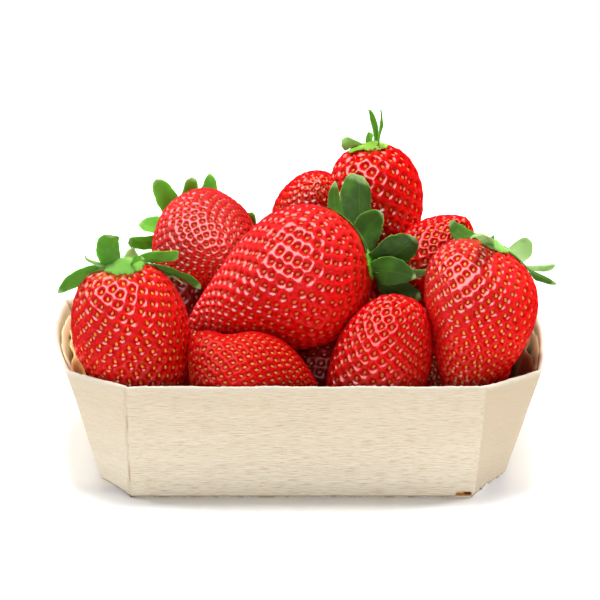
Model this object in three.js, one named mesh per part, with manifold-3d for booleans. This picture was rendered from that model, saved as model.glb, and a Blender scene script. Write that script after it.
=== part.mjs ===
// A punnet of strawberries: a folded wood veneer basket, heaped with berries under leafy caps.
// Millimetres, +Z up. The origin is on the underside of the floor, at its middle. -Y is the front.

import * as THREE from 'three';
import Module from 'manifold-3d';

const wasm = await Module();
wasm.setup();

// ---------------------------------------------------------------- driving dimensions

const VENEER = 1.3; // thickness of the basket's sheet
const RIM = 38.4; // height of the rim
const CLEAR = 0.4; // gap between the basket and what lies in it
const OVER_RIM = 3; // how far above the rim things are still held in by the walls

// Corners of the wall, from the front wall's left end round by the right: the foot, with its
// height, and the rim. The side from each corner to the next has `steps` facets. The ends swell
// out, by `swell` at the foot and at the rim, and have layers inside them.
const CORNERS = [
  { foot: [-53.7, -42, 0], rim: [-54.5, -47], steps: 1 },
  { foot: [52.4, -42, 0], rim: [55.5, -47], steps: 3 },
  { foot: [62.6, -34.7, 5.2], rim: [74, -32], steps: 6, swell: [1.5, 2.2] },
  { foot: [63.2, 34.7, 2.5], rim: [75, 33], steps: 3 },
  { foot: [53.7, 42, 0], rim: [55.5, 47], steps: 1 },
  { foot: [-53.7, 42, 0], rim: [-54.5, 47], steps: 3 },
  { foot: [-63.2, 34.7, 2.5], rim: [-78.3, 35.5], steps: 6, swell: [1.5, 3.4] },
  { foot: [-63.2, -34.7, 3.7], rim: [-73.5, -32], steps: 3 },
];
const RIGHT_END = 2;
const LEFT_END = 6;
const FOOT_RISE = 0.7; // power by which the foot of a cut corner rises

// Where the floor's edge turns at each side, from the long walls' feet to the ends.
const FLOOR_CORNER = { x: 57, y: 32 };
const FLOOR_END = { x: 59.5, y: 18 };
const FLOOR_INSET = 0.3; // the floor's edges end inside the walls

// The ends have three layers: the front ear outside, the rear ear, and the floor's end flap.
// Between their ends the inner two lean in from the wall at the top, by `lean`.
const REAR_EAR = { layer: 1, from: 4, drop: 1.2, wave: 0.5, waves: 1.5, lean: 0.9 };
const END_FLAP = { layer: 2, from: 8, drop: 2.2, wave: 0.8, waves: 1.7, lean: 2 };
const LAYER_BED = 0.5; // share of the sheet by which a layer is bedded in the next
const FLAP_FOOT = { meets: 9, lap: 1.5, share: 0.97, bed: 0.3 };
const NOTCH = { from: 47.1, to: 52.2, foot: 0.8, top: 2.2 }; // chipped out of the front wall's foot

const WALL_ROOM = VENEER + CLEAR; // from a wall's outer face to what lies in the basket
const END_ROOM = 4 * VENEER + CLEAR;

const BERRY_SIDES = 16;
const BERRY_RINGS = 9;

// The mound under the berries: half sizes of its level ellipses.
const CORE = {
  middleY: 6,
  sides: 16,
  layers: [
    { z: 2, x: 50, y: 32 },
    { z: 14, x: 58, y: 34 },
    { z: 28, x: 60, y: 33 },
    { z: 42, x: 50, y: 23 },
    { z: 52, x: 34, y: 16 },
  ],
};

// Berries. `at` is the middle, `stalk` points to the leafy end, `taper` moves the widest place
// to the stalk, `full` below 0.5 makes the sides boxier, `bend` bows the axis, `flat` squashes one
// cross direction. A lobe is a place along, its turn round in degrees, its reach and its rise.
const BERRIES = [
  {
    at: [-52.9, -21.5, 40.5], stalk: [-0.12, -0.12, 0.985], long: 60, wide: 36.3,
    taper: 1.38, full: 0.33, bend: -1, flat: 0.96,
  },
  {
    at: [53.3, -21, 48], stalk: [0.1, 0.15, 0.984], long: 56, wide: 35.6,
    taper: 1.8, full: 0.43, bend: -4.9,
  },
  {
    at: [-15.5, -31, 34.6], stalk: [-1, 0, 0.09], long: 39.4, wide: 29.9,
    taper: 1.47, full: 0.49, flat: 0.9,
    lobes: [[0.9, 15, 6.6, 3.8], [0.31, 15, 11, 2.2], [0.74, 15, 3.7, -3.1]],
  },
  {
    at: [23.4, -25, 33.8], stalk: [-0.256, 0, -0.967], long: 54, wide: 30.7,
    taper: 1.07, full: 0.33, bend: -1.35, flat: 0.95,
  },
  {
    at: [-9, -3, 55.2], stalk: [0.883, -0.101, 0.458], long: 63.5, wide: 44.1,
    taper: 1.78, full: 0.48, bend: -1.1, flat: 1.05,
  },
  {
    at: [23.7, 27, 68.6], stalk: [-0.09, 0.05, 0.995], long: 47.9, wide: 29.6,
    taper: 1.68, full: 0.33, bend: -0.1,
  },
  {
    at: [-30.2, 20, 62], stalk: [-0.376, 0.892, -0.249], long: 37.2, wide: 34,
    taper: 1.26, full: 0.44, bend: -3,
  },
  {
    at: [5, 33, 67.2], stalk: [0.118, 0.575, -0.81], long: 40.5, wide: 31.5,
    taper: 1.64, full: 0.33, bend: -2.9,
  },
  {
    at: [42.4, 7, 62.5], stalk: [-0.41, 0.416, -0.81], long: 38.5, wide: 26.1,
    taper: 1.31, full: 0.56, bend: -1.4,
  },
  { at: [-53, 22, 31], stalk: [-0.2, 0.6, 0.75], long: 38, wide: 35, taper: 1.2, full: 0.5 },
  { at: [-16, 27, 32], stalk: [-0.9, 0.35, -0.2], long: 42, wide: 32, taper: 1.3, full: 0.5 },
  { at: [20, 30, 31], stalk: [0.7, 0.6, 0.1], long: 38, wide: 31, taper: 1.2, full: 0.5 },
  { at: [56, 22, 33], stalk: [0.2, 0.6, 0.75], long: 39, wide: 34, taper: 1.2, full: 0.5 },
  { at: [-33, -8, 25], stalk: [0, 0.5, 1], long: 36, wide: 27, taper: 1.2, full: 0.5 },
  { at: [-40, 17, 42], stalk: [0.1, 0.5, 0.8], long: 34, wide: 28, taper: 1.2, full: 0.5 },
  { at: [7, -10, 27], stalk: [0.9, 0.2, 0.25], long: 38, wide: 26, taper: 1.2, full: 0.45 },
  { at: [43, -8, 24], stalk: [0.3, 0.5, -0.8], long: 34, wide: 26, taper: 1.2, full: 0.5 },
  { at: [9, 13, 45], stalk: [-0.9, 0.3, 0.2], long: 34, wide: 26, taper: 1.2, full: 0.5 },
  { at: [-57, 1, 21], stalk: [0.2, 0.8, 0.4], long: 34, wide: 25, taper: 1.2, full: 0.5 },
  { at: [60, 1, 22], stalk: [-0.2, 0.9, 0.3], long: 34, wide: 25, taper: 1.2, full: 0.5 },
];

// Caps: where each sits, which way its stalk points, and the radius of its collar.
const CAPS = {
  front_left: { at: [-55.2, -24.5, 68.5], to: [-0.05, -0.12, 1], collar: 5.6 },
  back_left: { at: [-36.6, 35.6, 59.2], to: [-0.35, 0.85, -0.25], collar: 4.5 },
  centre: { at: [21.1, -6, 64.4], to: [0.925, -0.1, 0.33], collar: 4.5 },
  top: { at: [22.3, 28.1, 92], to: [-0.06, 0.05, 1], collar: 4.4 },
  front_right: { at: [59.3, -18.6, 74.5], to: [0.17, 0.1, 0.98], collar: 4.5 },
  back_mid: { at: [7.3, 44.1, 51.6], to: [0.118, 0.575, -0.81], collar: 4 },
  rear_left: { at: [-56.6, 33, 44.7], to: [-0.2, 0.6, 0.75], collar: 4 },
  rear_right: { at: [59.7, 33.3, 47.1], to: [0.2, 0.6, 0.75], collar: 4 },
};

// Leaves of the caps at the front, one row a leaf: azimuth round the stalk, length, width, the
// angle it starts at above the cap's plane, how far it curls, how far it rolls, and how blunt
// its tip is. The other caps are regular: leaves evenly round the stalk, each a little different.
const LEAVES = {
  front_left: [
    [151, 12.5, 8.1, 45, 75, 38, 1.2], [176, 11.6, 1.8, 18, 14, 46, 0.1],
    [182, 20.7, 5.3, 8, -53, 89, 0.4], [32, 17.5, 5.4, 19, -46, -119, 1.5],
    [78, 15.8, 4.8, 20, -63, -91, 0], [20, 25.4, 3.7, -4, -46, -132, 1.1],
    [27, 20.5, 2.6, -9, -41, 159, 0.6], [319, 10.1, 2.2, 89, -88, -79, 0.8],
  ],
  back_left: [
    [7, 20.7, 7.1, -6, 6, 30, 1.1], [35, 18.5, 5.5, -6, -18, 4, 1.3],
    [55, 23.1, 6.6, -59, 105, 23, 0.3], [329, 15.9, 8.4, 5, 58, -41, 0.7],
    [305, 18.4, 5.4, 1, 41, 26, 1.3], [112, 25.3, 9.3, -32, -48, 41, 1.6],
    [150, 16, 6, 10, -30, 0, 0.4], [200, 17, 6.5, 0, -30, 0, 0.5],
    [255, 16, 6, 10, -35, 0, 0.4],
  ],
  centre: [
    [140, 28.3, 10.8, -9, 29, 50, 1.5], [153, 28.4, 4.9, -43, 69, 63, 0.6],
    [145, 16.7, 10.2, -20, 105, 57, 0.5], [155, 16.7, 10.3, 109, -51, 64, 0.8],
    [295, 17.3, 9.1, 64, -17, 70, 0], [336, 18.6, 6.6, 57, 36, 26, 0.2],
    [338, 18, 7.3, 25, 40, 111, 0.9], [60, 15, 6, 20, -50, 0, 0.4],
    [100, 15, 6, 10, -40, 0, 0.4],
  ],
  top: [
    [63, 15, 2.1, 81, 51, -16, 0.1], [318, 13.6, 2, 80, -3, -34, 1.1],
    [149, 9.7, 5.1, 18, -35, -85, 1.3], [195, 6, 4.5, 15, -30, 0, 0.9],
    [98, 6.2, 3.7, 26, 25, -156, 0.1], [125, 11, 5, 0, -60, 0, 0.4],
    [80, 8, 4, 0, -60, 0, 0.4],
  ],
  front_right: [
    [127, 21, 5.3, -10, 25, 53, 0.9], [236, 15.8, 4.5, 51, -69, -27, 0],
    [42, 15.5, 8.1, -55, 132, -22, 0.8], [17, 21, 2.4, -50, 76, -41, 1.3],
    [10, 22.1, 3.6, -41, 31, -51, 0.4], [111, 3.3, 1.4, 66, 46, 0, 0.1],
    [70, 10, 5, 0, -50, 0, 0.4], [110, 10, 5, 0, -50, 0, 0.4],
  ],
};
const EVEN_LEAVES = {
  count: 7, long: 14, wide: 6, lift: 25, curl: -55, blunt: 0.3, vary: 0.2, leafTurn: 5, capTurn: 3,
};

// `ring` is where leaves start from the stalk, `root` how wide they start, `shape` and `point`
// the powers of the outline for a sharp tip, and what a blunt one adds.
const LEAF = {
  thick: 0.7, steps: 4, narrow: 4.6, ring: 2.2, root: 0.12, tip: 0.3, fold: 0.16,
  wave: 0.35, waves: 7, shape: [0.9, 0.6], point: [0.75, -0.35], clear: 1, rolling: 3,
};
const SEARCH = { far: 6, halvings: 20 }; // how a leaf's way out of a berry is found
const COLLAR = { share: 0.7, thick: 0.8, sides: 8, seat: 0.5, drop: 0.3 };

const VENEER_FINISH = { color: 0xe8dcc4, roughness: 0.75, metalness: 0 };
const FLESH_FINISH = { color: 0xc8100c, roughness: 0.3, metalness: 0 };
const LEAF_FINISH = { color: 0x4c8f2c, roughness: 0.6, metalness: 0 };

// ---------------------------------------------------------------- general helpers

const vec = (x, y, z) => new THREE.Vector3(x, y, z);
const mix = THREE.MathUtils.lerp;
const rad = THREE.MathUtils.degToRad;
const clamp = THREE.MathUtils.clamp;

// A closed body from points and triangles, turned right side out.
function solid(points, triangles) {
  let volume = 0;
  for (const [a, b, c] of triangles) {
    volume += points[a].dot(vec(0, 0, 0).crossVectors(points[b], points[c]));
  }
  const order = volume < 0 ? triangles.map(([a, b, c]) => [a, c, b]) : triangles;
  const vertProperties = new Float32Array(points.flatMap((p) => [p.x, p.y, p.z]));
  const triVerts = new Uint32Array(order.flat());
  return new wasm.Manifold(new wasm.Mesh({ numProp: 3, vertProperties, triVerts }));
}

function join(solids) {
  return solids.reduce((whole, piece) => whole.add(piece));
}

// A slab between two grids of points, alike in rows and columns. With `loop` set, the last row
// runs on into the first.
function slab(upper, lower, loop = false) {
  const rows = upper.length;
  const columns = upper[0].length;
  const points = [...upper.flat(), ...lower.flat()];
  const top = (i, j) => (i % rows) * columns + j;
  const under = (i, j) => rows * columns + top(i, j);
  const triangles = [];
  const quad = (a, b, c, d) => triangles.push([a, b, c], [a, c, d]);
  const last = columns - 1;
  for (let i = 0; i < (loop ? rows : rows - 1); i++) {
    for (let j = 0; j < last; j++) {
      quad(top(i, j), top(i + 1, j), top(i + 1, j + 1), top(i, j + 1));
      quad(under(i, j), under(i, j + 1), under(i + 1, j + 1), under(i + 1, j));
    }
    quad(top(i + 1, 0), top(i, 0), under(i, 0), under(i + 1, 0));
    quad(top(i, last), top(i + 1, last), under(i + 1, last), under(i, last));
  }
  if (!loop) {
    for (let j = 0; j < last; j++) {
      quad(top(0, j), top(0, j + 1), under(0, j + 1), under(0, j));
      quad(top(rows - 1, j + 1), top(rows - 1, j), under(rows - 1, j), under(rows - 1, j + 1));
    }
  }
  return solid(points, triangles);
}

// A body from rows of points that run up round an axis, closed with a fan at each end.
function lathed(rows, low, high) {
  const sides = rows.length;
  const levels = rows[0].length;
  const points = [...rows.flat(), low, high];
  const at = (j, k) => (j % sides) * levels + k;
  const triangles = [];
  for (let j = 0; j < sides; j++) {
    for (let k = 0; k < levels - 1; k++) {
      triangles.push([at(j, k), at(j + 1, k), at(j + 1, k + 1)]);
      triangles.push([at(j, k), at(j + 1, k + 1), at(j, k + 1)]);
    }
    triangles.push([at(j + 1, 0), at(j, 0), sides * levels]);
    triangles.push([at(j, levels - 1), at(j + 1, levels - 1), sides * levels + 1]);
  }
  return solid(points, triangles);
}

function mesh(name, body, finish) {
  const { vertProperties, triVerts } = body.getMesh();
  const geometry = new THREE.BufferGeometry();
  geometry.setAttribute('position', new THREE.BufferAttribute(new Float32Array(vertProperties), 3));
  geometry.setIndex(new THREE.BufferAttribute(new Uint32Array(triVerts), 1));
  geometry.computeVertexNormals();
  const result = new THREE.Mesh(geometry, new THREE.MeshStandardMaterial(finish));
  result.name = name;
  return result;
}

// ---------------------------------------------------------------- basket

// Stations along the side from a corner to the next, both included: lines from foot to rim.
function sideStations(k) {
  const start = CORNERS[k];
  const stop = CORNERS[(k + 1) % CORNERS.length];
  const [lowSwell, highSwell] = start.swell ?? [0, 0];
  const list = [];
  for (let i = 0; i <= start.steps; i++) {
    const t = i / start.steps;
    const out = Math.sign(start.foot[0]) * Math.sin(Math.PI * t);
    const rising = stop.foot[2] > start.foot[2];
    const lift = rising ? t ** FOOT_RISE : 1 - (1 - t) ** FOOT_RISE;
    const foot = start.foot.map((value, axis) => mix(value, stop.foot[axis], axis === 2 ? lift : t));
    const rim = start.rim.map((value, axis) => mix(value, stop.rim[axis], t));
    list.push({
      foot: vec(foot[0] + lowSwell * out, foot[1], foot[2]),
      rim: vec(rim[0] + highSwell * out, rim[1], RIM),
    });
  }
  return list;
}

// The point of a station at a height, moved inwards, level, by a distance.
function wallPoint(list, index, height, inset) {
  const here = list[index];
  const t = (height - here.foot.z) / (here.rim.z - here.foot.z);
  const point = here.foot.clone().lerp(here.rim, t);
  const before = list[Math.max(index - 1, 0)].rim;
  const after = list[Math.min(index + 1, list.length - 1)].rim;
  const along = after.clone().sub(before).setZ(0).normalize();
  return point.add(vec(-along.y, along.x, 0).multiplyScalar(inset));
}

// The outer wall, right round, as one leaning strip.
function outerWall() {
  const round = CORNERS.flatMap((_, k) => sideStations(k).slice(0, -1));
  const wrapped = [round.at(-1), ...round, round[0]];
  const place = (inset) =>
    round.map((station, i) => [
      wallPoint(wrapped, i + 1, station.foot.z, inset),
      wallPoint(wrapped, i + 1, RIM, inset),
    ]);
  return slab(place(0), place(VENEER), true);
}

// How far the floor reaches to each side at a distance from its long middle line.
function floorReach(y) {
  const past = Math.max(0, Math.abs(y) - FLOOR_END.y) / (FLOOR_CORNER.y - FLOOR_END.y);
  return mix(FLOOR_END.x, FLOOR_CORNER.x, past) - FLOOR_INSET;
}

function floorPlate() {
  const turns = [-FLOOR_CORNER.y, -FLOOR_END.y, FLOOR_END.y, FLOOR_CORNER.y];
  const edge = (left, right) => {
    const y = left.foot[1] - Math.sign(left.foot[1]) * FLOOR_INSET;
    return { y, from: left.foot[0] + FLOOR_INSET, to: right.foot[0] - FLOOR_INSET };
  };
  const lines = [
    edge(CORNERS[0], CORNERS[1]),
    ...turns.map((y) => ({ y, from: -floorReach(y), to: floorReach(y) })),
    edge(CORNERS[5], CORNERS[4]),
  ];
  const level = (z) => lines.map(({ y, from, to }) => [vec(to, y, z), vec(from, y, z)]);
  return slab(level(VENEER), level(0));
}

// A layer inside an end: a strip that follows the wall, with a wavy top, bedded in the layer
// outside it.
function endLayer(list, shape) {
  const place = (layers) =>
    list.map((_, i) => {
      const t = i / (list.length - 1);
      const top = RIM - shape.drop + shape.wave * Math.sin(shape.waves * 2 * Math.PI * t);
      return [
        wallPoint(list, i, shape.from, layers * VENEER),
        wallPoint(list, i, top, layers * VENEER + shape.lean * Math.sin(Math.PI * t)),
      ];
    });
  return slab(place(shape.layer - LAYER_BED), place(shape.layer + 1));
}

// The flap's foot: it slopes from the floor's end out to the wall.
function flapFoot(list) {
  const [first, last] = [list[0].foot, list.at(-1).foot];
  const way = Math.sign(last.y - first.y);
  const inset = (END_FLAP.layer - FLAP_FOOT.bed) * VENEER;
  const place = (thickness) =>
    list.map((_, i) => {
      const y = way * mix(-FLOOR_CORNER.y, FLOOR_CORNER.y, i / (list.length - 1)) * FLAP_FOOT.share;
      const x = floorReach(y) - FLAP_FOOT.lap - thickness;
      const low = vec(Math.sign(first.x) * x, y, VENEER / 2);
      return [low, wallPoint(list, i, FLAP_FOOT.meets, inset + thickness)];
    });
  return slab(place(0), place(VENEER));
}

function notch() {
  const [, footY] = CORNERS[0].foot;
  const [, rimY] = CORNERS[0].rim;
  const line = (x, z) => [vec(x, rimY, z), vec(x, footY + VENEER, z)];
  const level = (z) => [line(NOTCH.from, z), line(NOTCH.to, z)];
  return slab(level(NOTCH.top), level(NOTCH.foot));
}

function basket() {
  const parts = [outerWall(), floorPlate()];
  for (const end of [RIGHT_END, LEFT_END]) {
    const list = sideStations(end);
    parts.push(endLayer(list, REAR_EAR), endLayer(list, END_FLAP), flapFoot(list));
  }
  return join(parts).subtract(notch());
}

// ---------------------------------------------------------------- berries

// A stalk's direction and two directions across it.
function axesOf(direction) {
  const stalk = vec(...direction).normalize();
  const helper = Math.abs(stalk.y) < 0.9 ? vec(0, 1, 0) : vec(1, 0, 0);
  const side = vec(0, 0, 0).crossVectors(helper, stalk).normalize();
  return { stalk, side, cross: vec(0, 0, 0).crossVectors(stalk, side) };
}

// From the tip, where s is 0, to the stalk, where it is 1.
const berryRadius = (berry, s) =>
  (berry.wide / 2) * Math.sin(Math.PI * clamp(s, 0, 1) ** berry.taper) ** berry.full;

const berryBow = (berry, s) => (berry.bend ?? 0) * ((2 * s - 1) ** 2 - 1 / 3);

function berryPoint(berry, s, angle) {
  const { stalk, side, cross } = axesOf(berry.stalk);
  const radius = berryRadius(berry, s);
  return vec(...berry.at)
    .addScaledVector(side, radius * Math.cos(angle) + berryBow(berry, s))
    .addScaledVector(cross, radius * Math.sin(angle) * (berry.flat ?? 1))
    .addScaledVector(stalk, berry.long * (s - 0.5));
}

// Is a point inside a berry grown by a distance?
function insideBerry(point, berry, grown) {
  const { stalk, side, cross } = axesOf(berry.stalk);
  const from = point.clone().sub(vec(...berry.at));
  const s = from.dot(stalk) / (berry.long + 2 * grown) + 0.5;
  if (s <= 0 || s >= 1) {
    return false;
  }
  const aside = from.dot(side) - berryBow(berry, s);
  const across = Math.hypot(aside, from.dot(cross) / (berry.flat ?? 1));
  return across < berryRadius(berry, s) * (1 + (2 * grown) / berry.wide);
}

// Moves a point of a berry out, or in where a lobe's rise is below 0, most at the lobe's middle.
function lobed(berry, point, s, angle) {
  const step = 0.01;
  const onward = berryPoint(berry, s + step, angle).sub(berryPoint(berry, s - step, angle));
  const round = berryPoint(berry, s, angle + step).sub(berryPoint(berry, s, angle - step));
  const normal = vec(0, 0, 0).crossVectors(round, onward).normalize();
  const result = point.clone();
  for (const [along, turn, reach, rise] of berry.lobes) {
    const gap = point.distanceTo(berryPoint(berry, along, rad(turn))) / reach;
    result.addScaledVector(normal, rise * Math.exp(-(gap ** 2)));
  }
  return result;
}

// Moves a point of the heap straight in from each wall that it is too near, and off the floor.
function keepInBasket(point) {
  const result = point.clone();
  if (point.z > RIM + OVER_RIM) {
    return result;
  }
  const plan = CORNERS.map(({ foot, rim }) => {
    const share = clamp((point.z - foot[2]) / (RIM - foot[2]), 0, 1);
    return { x: mix(foot[0], rim[0], share), y: mix(foot[1], rim[1], share) };
  });
  plan.forEach((start, k) => {
    const stop = plan[(k + 1) % plan.length];
    const inward = new THREE.Vector2(start.y - stop.y, stop.x - start.x).normalize();
    const room = (result.x - start.x) * inward.x + (result.y - start.y) * inward.y;
    const short = Math.max((CORNERS[k].swell ? END_ROOM : WALL_ROOM) - room, 0);
    result.x += inward.x * short;
    result.y += inward.y * short;
  });
  result.z = Math.max(result.z, VENEER + CLEAR);
  return result;
}

// A berry as rows of points from the tip to the stalk.
function berrySolid(berry) {
  const spot = (s, angle) => {
    const plain = berryPoint(berry, s, angle);
    return keepInBasket(berry.lobes ? lobed(berry, plain, s, angle) : plain);
  };
  const rows = [];
  for (let j = 0; j < BERRY_SIDES; j++) {
    const row = [];
    for (let i = 1; i < BERRY_RINGS; i++) {
      const s = (1 - Math.cos((Math.PI * i) / BERRY_RINGS)) / 2;
      row.push(spot(s, (2 * Math.PI * j) / BERRY_SIDES));
    }
    rows.push(row);
  }
  return lathed(rows, keepInBasket(berryPoint(berry, 0, 0)), keepInBasket(berryPoint(berry, 1, 0)));
}

// The core under the berries: a low mound with its foot near the walls.
function core() {
  const { middleY, sides, layers } = CORE;
  const rows = [];
  for (let j = 0; j < sides; j++) {
    const angle = (2 * Math.PI * j) / sides;
    const row = ({ z, x, y }) => vec(x * Math.cos(angle), middleY + y * Math.sin(angle), z);
    rows.push(layers.map((layer) => keepInBasket(row(layer))));
  }
  return lathed(rows, vec(0, middleY, layers[0].z), vec(0, middleY, layers.at(-1).z));
}

// ---------------------------------------------------------------- leaves

// Moves a point straight out from the middle of each berry that it is in, until it is clear.
function clearOfBerries(point, distance) {
  const result = point.clone();
  for (const berry of BERRIES) {
    if (!insideBerry(result, berry, distance)) {
      continue;
    }
    const middle = vec(...berry.at);
    const ray = result.clone().sub(middle);
    let near = 1;
    let { far } = SEARCH;
    for (let step = 0; step < SEARCH.halvings; step++) {
      const half = (near + far) / 2;
      const test = middle.clone().addScaledVector(ray, half);
      if (insideBerry(test, berry, distance)) {
        near = half;
      } else {
        far = half;
      }
    }
    result.copy(middle).addScaledVector(ray, far);
  }
  return keepInBasket(result);
}

// Half the width of a leaf, from its root, where s is 0, to its tip.
function leafHalf(wide, blunt, s) {
  const shape = LEAF.shape[0] + LEAF.shape[1] * blunt;
  const point = LEAF.point[0] + LEAF.point[1] * blunt;
  const swell = Math.sin(Math.PI * (LEAF.root + (1 - LEAF.root) * s ** shape));
  return Math.max((wide / 2) * Math.max(swell, 0) ** point, LEAF.tip);
}

// A leaf: an arc from the cap's ring, lifting and curling, with a raised fold down its middle.
function leaf(cap, row) {
  const [azimuth, long, wide, lift, curl, roll, blunt] = row;
  const { stalk, side, cross } = axesOf(cap.to);
  const angle = rad(azimuth);
  const outward = side.clone().multiplyScalar(Math.cos(angle)).addScaledVector(cross, Math.sin(angle));
  const flank = vec(0, 0, 0).crossVectors(stalk, outward);
  const heading = (s) => {
    const rise = rad(lift + curl * s);
    return outward.clone().multiplyScalar(Math.cos(rise)).addScaledVector(stalk, Math.sin(rise));
  };
  const spine = vec(...cap.at).addScaledVector(outward, LEAF.ring);
  const upper = [];
  const lower = [];
  for (let i = 0; i <= LEAF.steps; i++) {
    const s = i / LEAF.steps;
    if (i > 0) {
      spine.addScaledVector(heading(s - 0.5 / LEAF.steps), long / LEAF.steps);
    }
    const along = heading(s);
    const up = vec(0, 0, 0).crossVectors(flank, along);
    const turn = rad(roll) * (1 - (1 - s) ** LEAF.rolling);
    const across = flank.clone().multiplyScalar(Math.cos(turn)).addScaledVector(up, Math.sin(turn));
    const face = vec(0, 0, 0).crossVectors(across, along);
    const half = leafHalf(wide, blunt, s);
    const ripple = LEAF.wave * Math.sin(LEAF.waves * s + azimuth);
    const section = (wide < LEAF.narrow ? [-1, 1] : [-1, 0, 1]).map((edge) => {
      const raised = Math.abs(edge) * half * LEAF.fold + edge * ripple;
      const point = spine.clone().addScaledVector(across, edge * half).addScaledVector(face, raised);
      return clearOfBerries(point, LEAF.clear);
    });
    upper.push(section.map((p) => p.clone().addScaledVector(face, LEAF.thick / 2)));
    lower.push(section.map((p) => p.clone().addScaledVector(face, -LEAF.thick / 2)));
  }
  return slab(upper, lower);
}

// The collar that the leaves of a cap grow from: a disc that lies on the berry's shoulder.
function collar(cap) {
  const { stalk, side, cross } = axesOf(cap.to);
  const radius = cap.collar * COLLAR.share;
  const raise = (point) => point.clone().addScaledVector(stalk, COLLAR.thick);
  const rows = [];
  for (let j = 0; j < COLLAR.sides; j++) {
    const angle = (2 * Math.PI * j) / COLLAR.sides;
    const edge = vec(...cap.at)
      .addScaledVector(side, radius * Math.cos(angle))
      .addScaledVector(cross, radius * Math.sin(angle))
      .addScaledVector(stalk, -COLLAR.drop * radius);
    const seat = clearOfBerries(edge, COLLAR.seat);
    rows.push([seat, raise(seat)]);
  }
  const seat = clearOfBerries(vec(...cap.at), COLLAR.seat);
  return lathed(rows, seat, raise(seat));
}

// Even leaves round a stalk, each a little unlike the next.
function evenLeaves(index) {
  const { count, long, wide, lift, curl, blunt, vary, leafTurn, capTurn } = EVEN_LEAVES;
  const rows = [];
  for (let i = 0; i < count; i++) {
    const uneven = Math.sin(leafTurn * i + capTurn * index) * vary;
    const azimuth = (360 * (i + uneven)) / count;
    rows.push([azimuth, long * (1 + uneven), wide, lift * (1 - uneven), curl, 0, blunt]);
  }
  return rows;
}

// ---------------------------------------------------------------- the punnet

const punnet = new THREE.Group();
punnet.name = 'strawberry_punnet';
punnet.add(mesh('basket', basket(), VENEER_FINISH));
punnet.add(mesh('strawberries', join([core(), ...BERRIES.map(berrySolid)]), FLESH_FINISH));
Object.entries(CAPS).forEach(([name, cap], index) => {
  const rows = LEAVES[name] ?? evenLeaves(index);
  const leaves = join([collar(cap), ...rows.map((row) => leaf(cap, row))]);
  punnet.add(mesh(`leaves_${name}`, leaves, LEAF_FINISH));
});

export default punnet;
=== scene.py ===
"""A punnet of strawberries: a folded veneer basket heaped with ripe berries under leafy caps."""

import math
from collections import namedtuple

import bpy
import numpy as np
from mathutils import Matrix, Vector


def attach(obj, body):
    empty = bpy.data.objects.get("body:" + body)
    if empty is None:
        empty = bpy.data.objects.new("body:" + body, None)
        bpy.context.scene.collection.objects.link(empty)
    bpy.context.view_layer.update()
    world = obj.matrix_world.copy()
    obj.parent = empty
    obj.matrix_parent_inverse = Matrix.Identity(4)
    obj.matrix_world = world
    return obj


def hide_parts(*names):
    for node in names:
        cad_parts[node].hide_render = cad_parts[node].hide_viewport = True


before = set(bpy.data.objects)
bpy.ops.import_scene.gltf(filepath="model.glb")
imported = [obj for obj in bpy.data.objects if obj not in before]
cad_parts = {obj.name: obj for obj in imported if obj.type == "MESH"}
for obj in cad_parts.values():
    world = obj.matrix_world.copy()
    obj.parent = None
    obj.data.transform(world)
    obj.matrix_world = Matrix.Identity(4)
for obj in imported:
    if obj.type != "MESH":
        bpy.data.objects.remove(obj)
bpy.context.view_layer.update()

bl_info = {
    "name": "Strawberry Punnet",
    "version": (1, 0, 0),
    "blender": (4, 5, 0),
    "location": "3D View > Sidebar > Punnet",
    "description": "Dresses a veneer punnet of strawberries",
    "category": "Add Mesh",
}

MM = 0.001  # sizes below are in millimetres

# ------------------------------------------------------------------ driving sizes

VENEER = 1.3  # thickness of the basket's sheet
RIM = 38.4  # height of the rim
CLEAR = 0.4  # gap between the basket and what lies in it
OVER_RIM = 3.0  # the walls' hold fades from this far below the rim to as far above it

# Corners of the wall in order round it from the front wall's left end: the foot, the rim, and how
# far the side that starts here swells outwards, at the foot and at the rim.
Corner = namedtuple("Corner", "foot rim swell")
CORNERS = tuple(Corner(np.array(row[:3]), np.array([*row[3:5], RIM]), row[5:]) for row in (
    (-53.7, -42.0, 0.0, -54.5, -47.0, 0, 0),
    (52.4, -42.0, 0.0, 55.5, -47.0, 0, 0),
    (62.6, -34.7, 5.2, 74.0, -32.0, 1.5, 2.2),
    (63.2, 34.7, 2.5, 75.0, 33.0, 0, 0),
    (53.7, 42.0, 0.0, 55.5, 47.0, 0, 0),
    (-53.7, 42.0, 0.0, -54.5, 47.0, 0, 0),
    (-63.2, 34.7, 2.5, -78.3, 35.5, 1.5, 3.4),
    (-63.2, -34.7, 3.7, -73.5, -32.0, 0, 0)))
FOLDED = (0, 1, 4, 5)  # the corners with a score line, where the long walls end
FOOT_RISE = .7  # power by which the foot of a cut corner rises
FLOOR_CORNER = (57.0, 32.0)  # where the floor's edge turns, from the walls to the ends
FLOOR_END = (59.5, 18.0)
FLOOR_INSET = .3  # the floor's edges end inside the walls
ENDS_FROM = 70  # the wall belongs to an end where its rim is further out than this

SPACING = .8  # between the wall's sections
SHELL_ROWS = 30
LAYER_ROWS = 22
ROUNDED = .18  # how far a sheet's top edges are worn down
SCORE = dict(half=.38, press=.25, faint=.45)  # fainter where the walls fold at the right
SHELL_EDGE = dict(foot_fray=.12, fray=.22, wander=.12)
BULGE = ((90, 41), (.2, .12))  # lengths and sizes of the waves in which the wall stands in and out
WORN = .95  # how high and how deep the foot is worn round
# The chip out of the front wall's foot, the gouge along its top, and the torn foot beside it.
NOTCH = dict(start=47.1, stop=52.2, top=2.2, press=.2, soft=(.4, .3))
GOUGE = dict(high=1.1, press=.5)
TORN = dict(start=(53, 56), stop=(62.6, 60), wave=.5, fray=.9)

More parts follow.
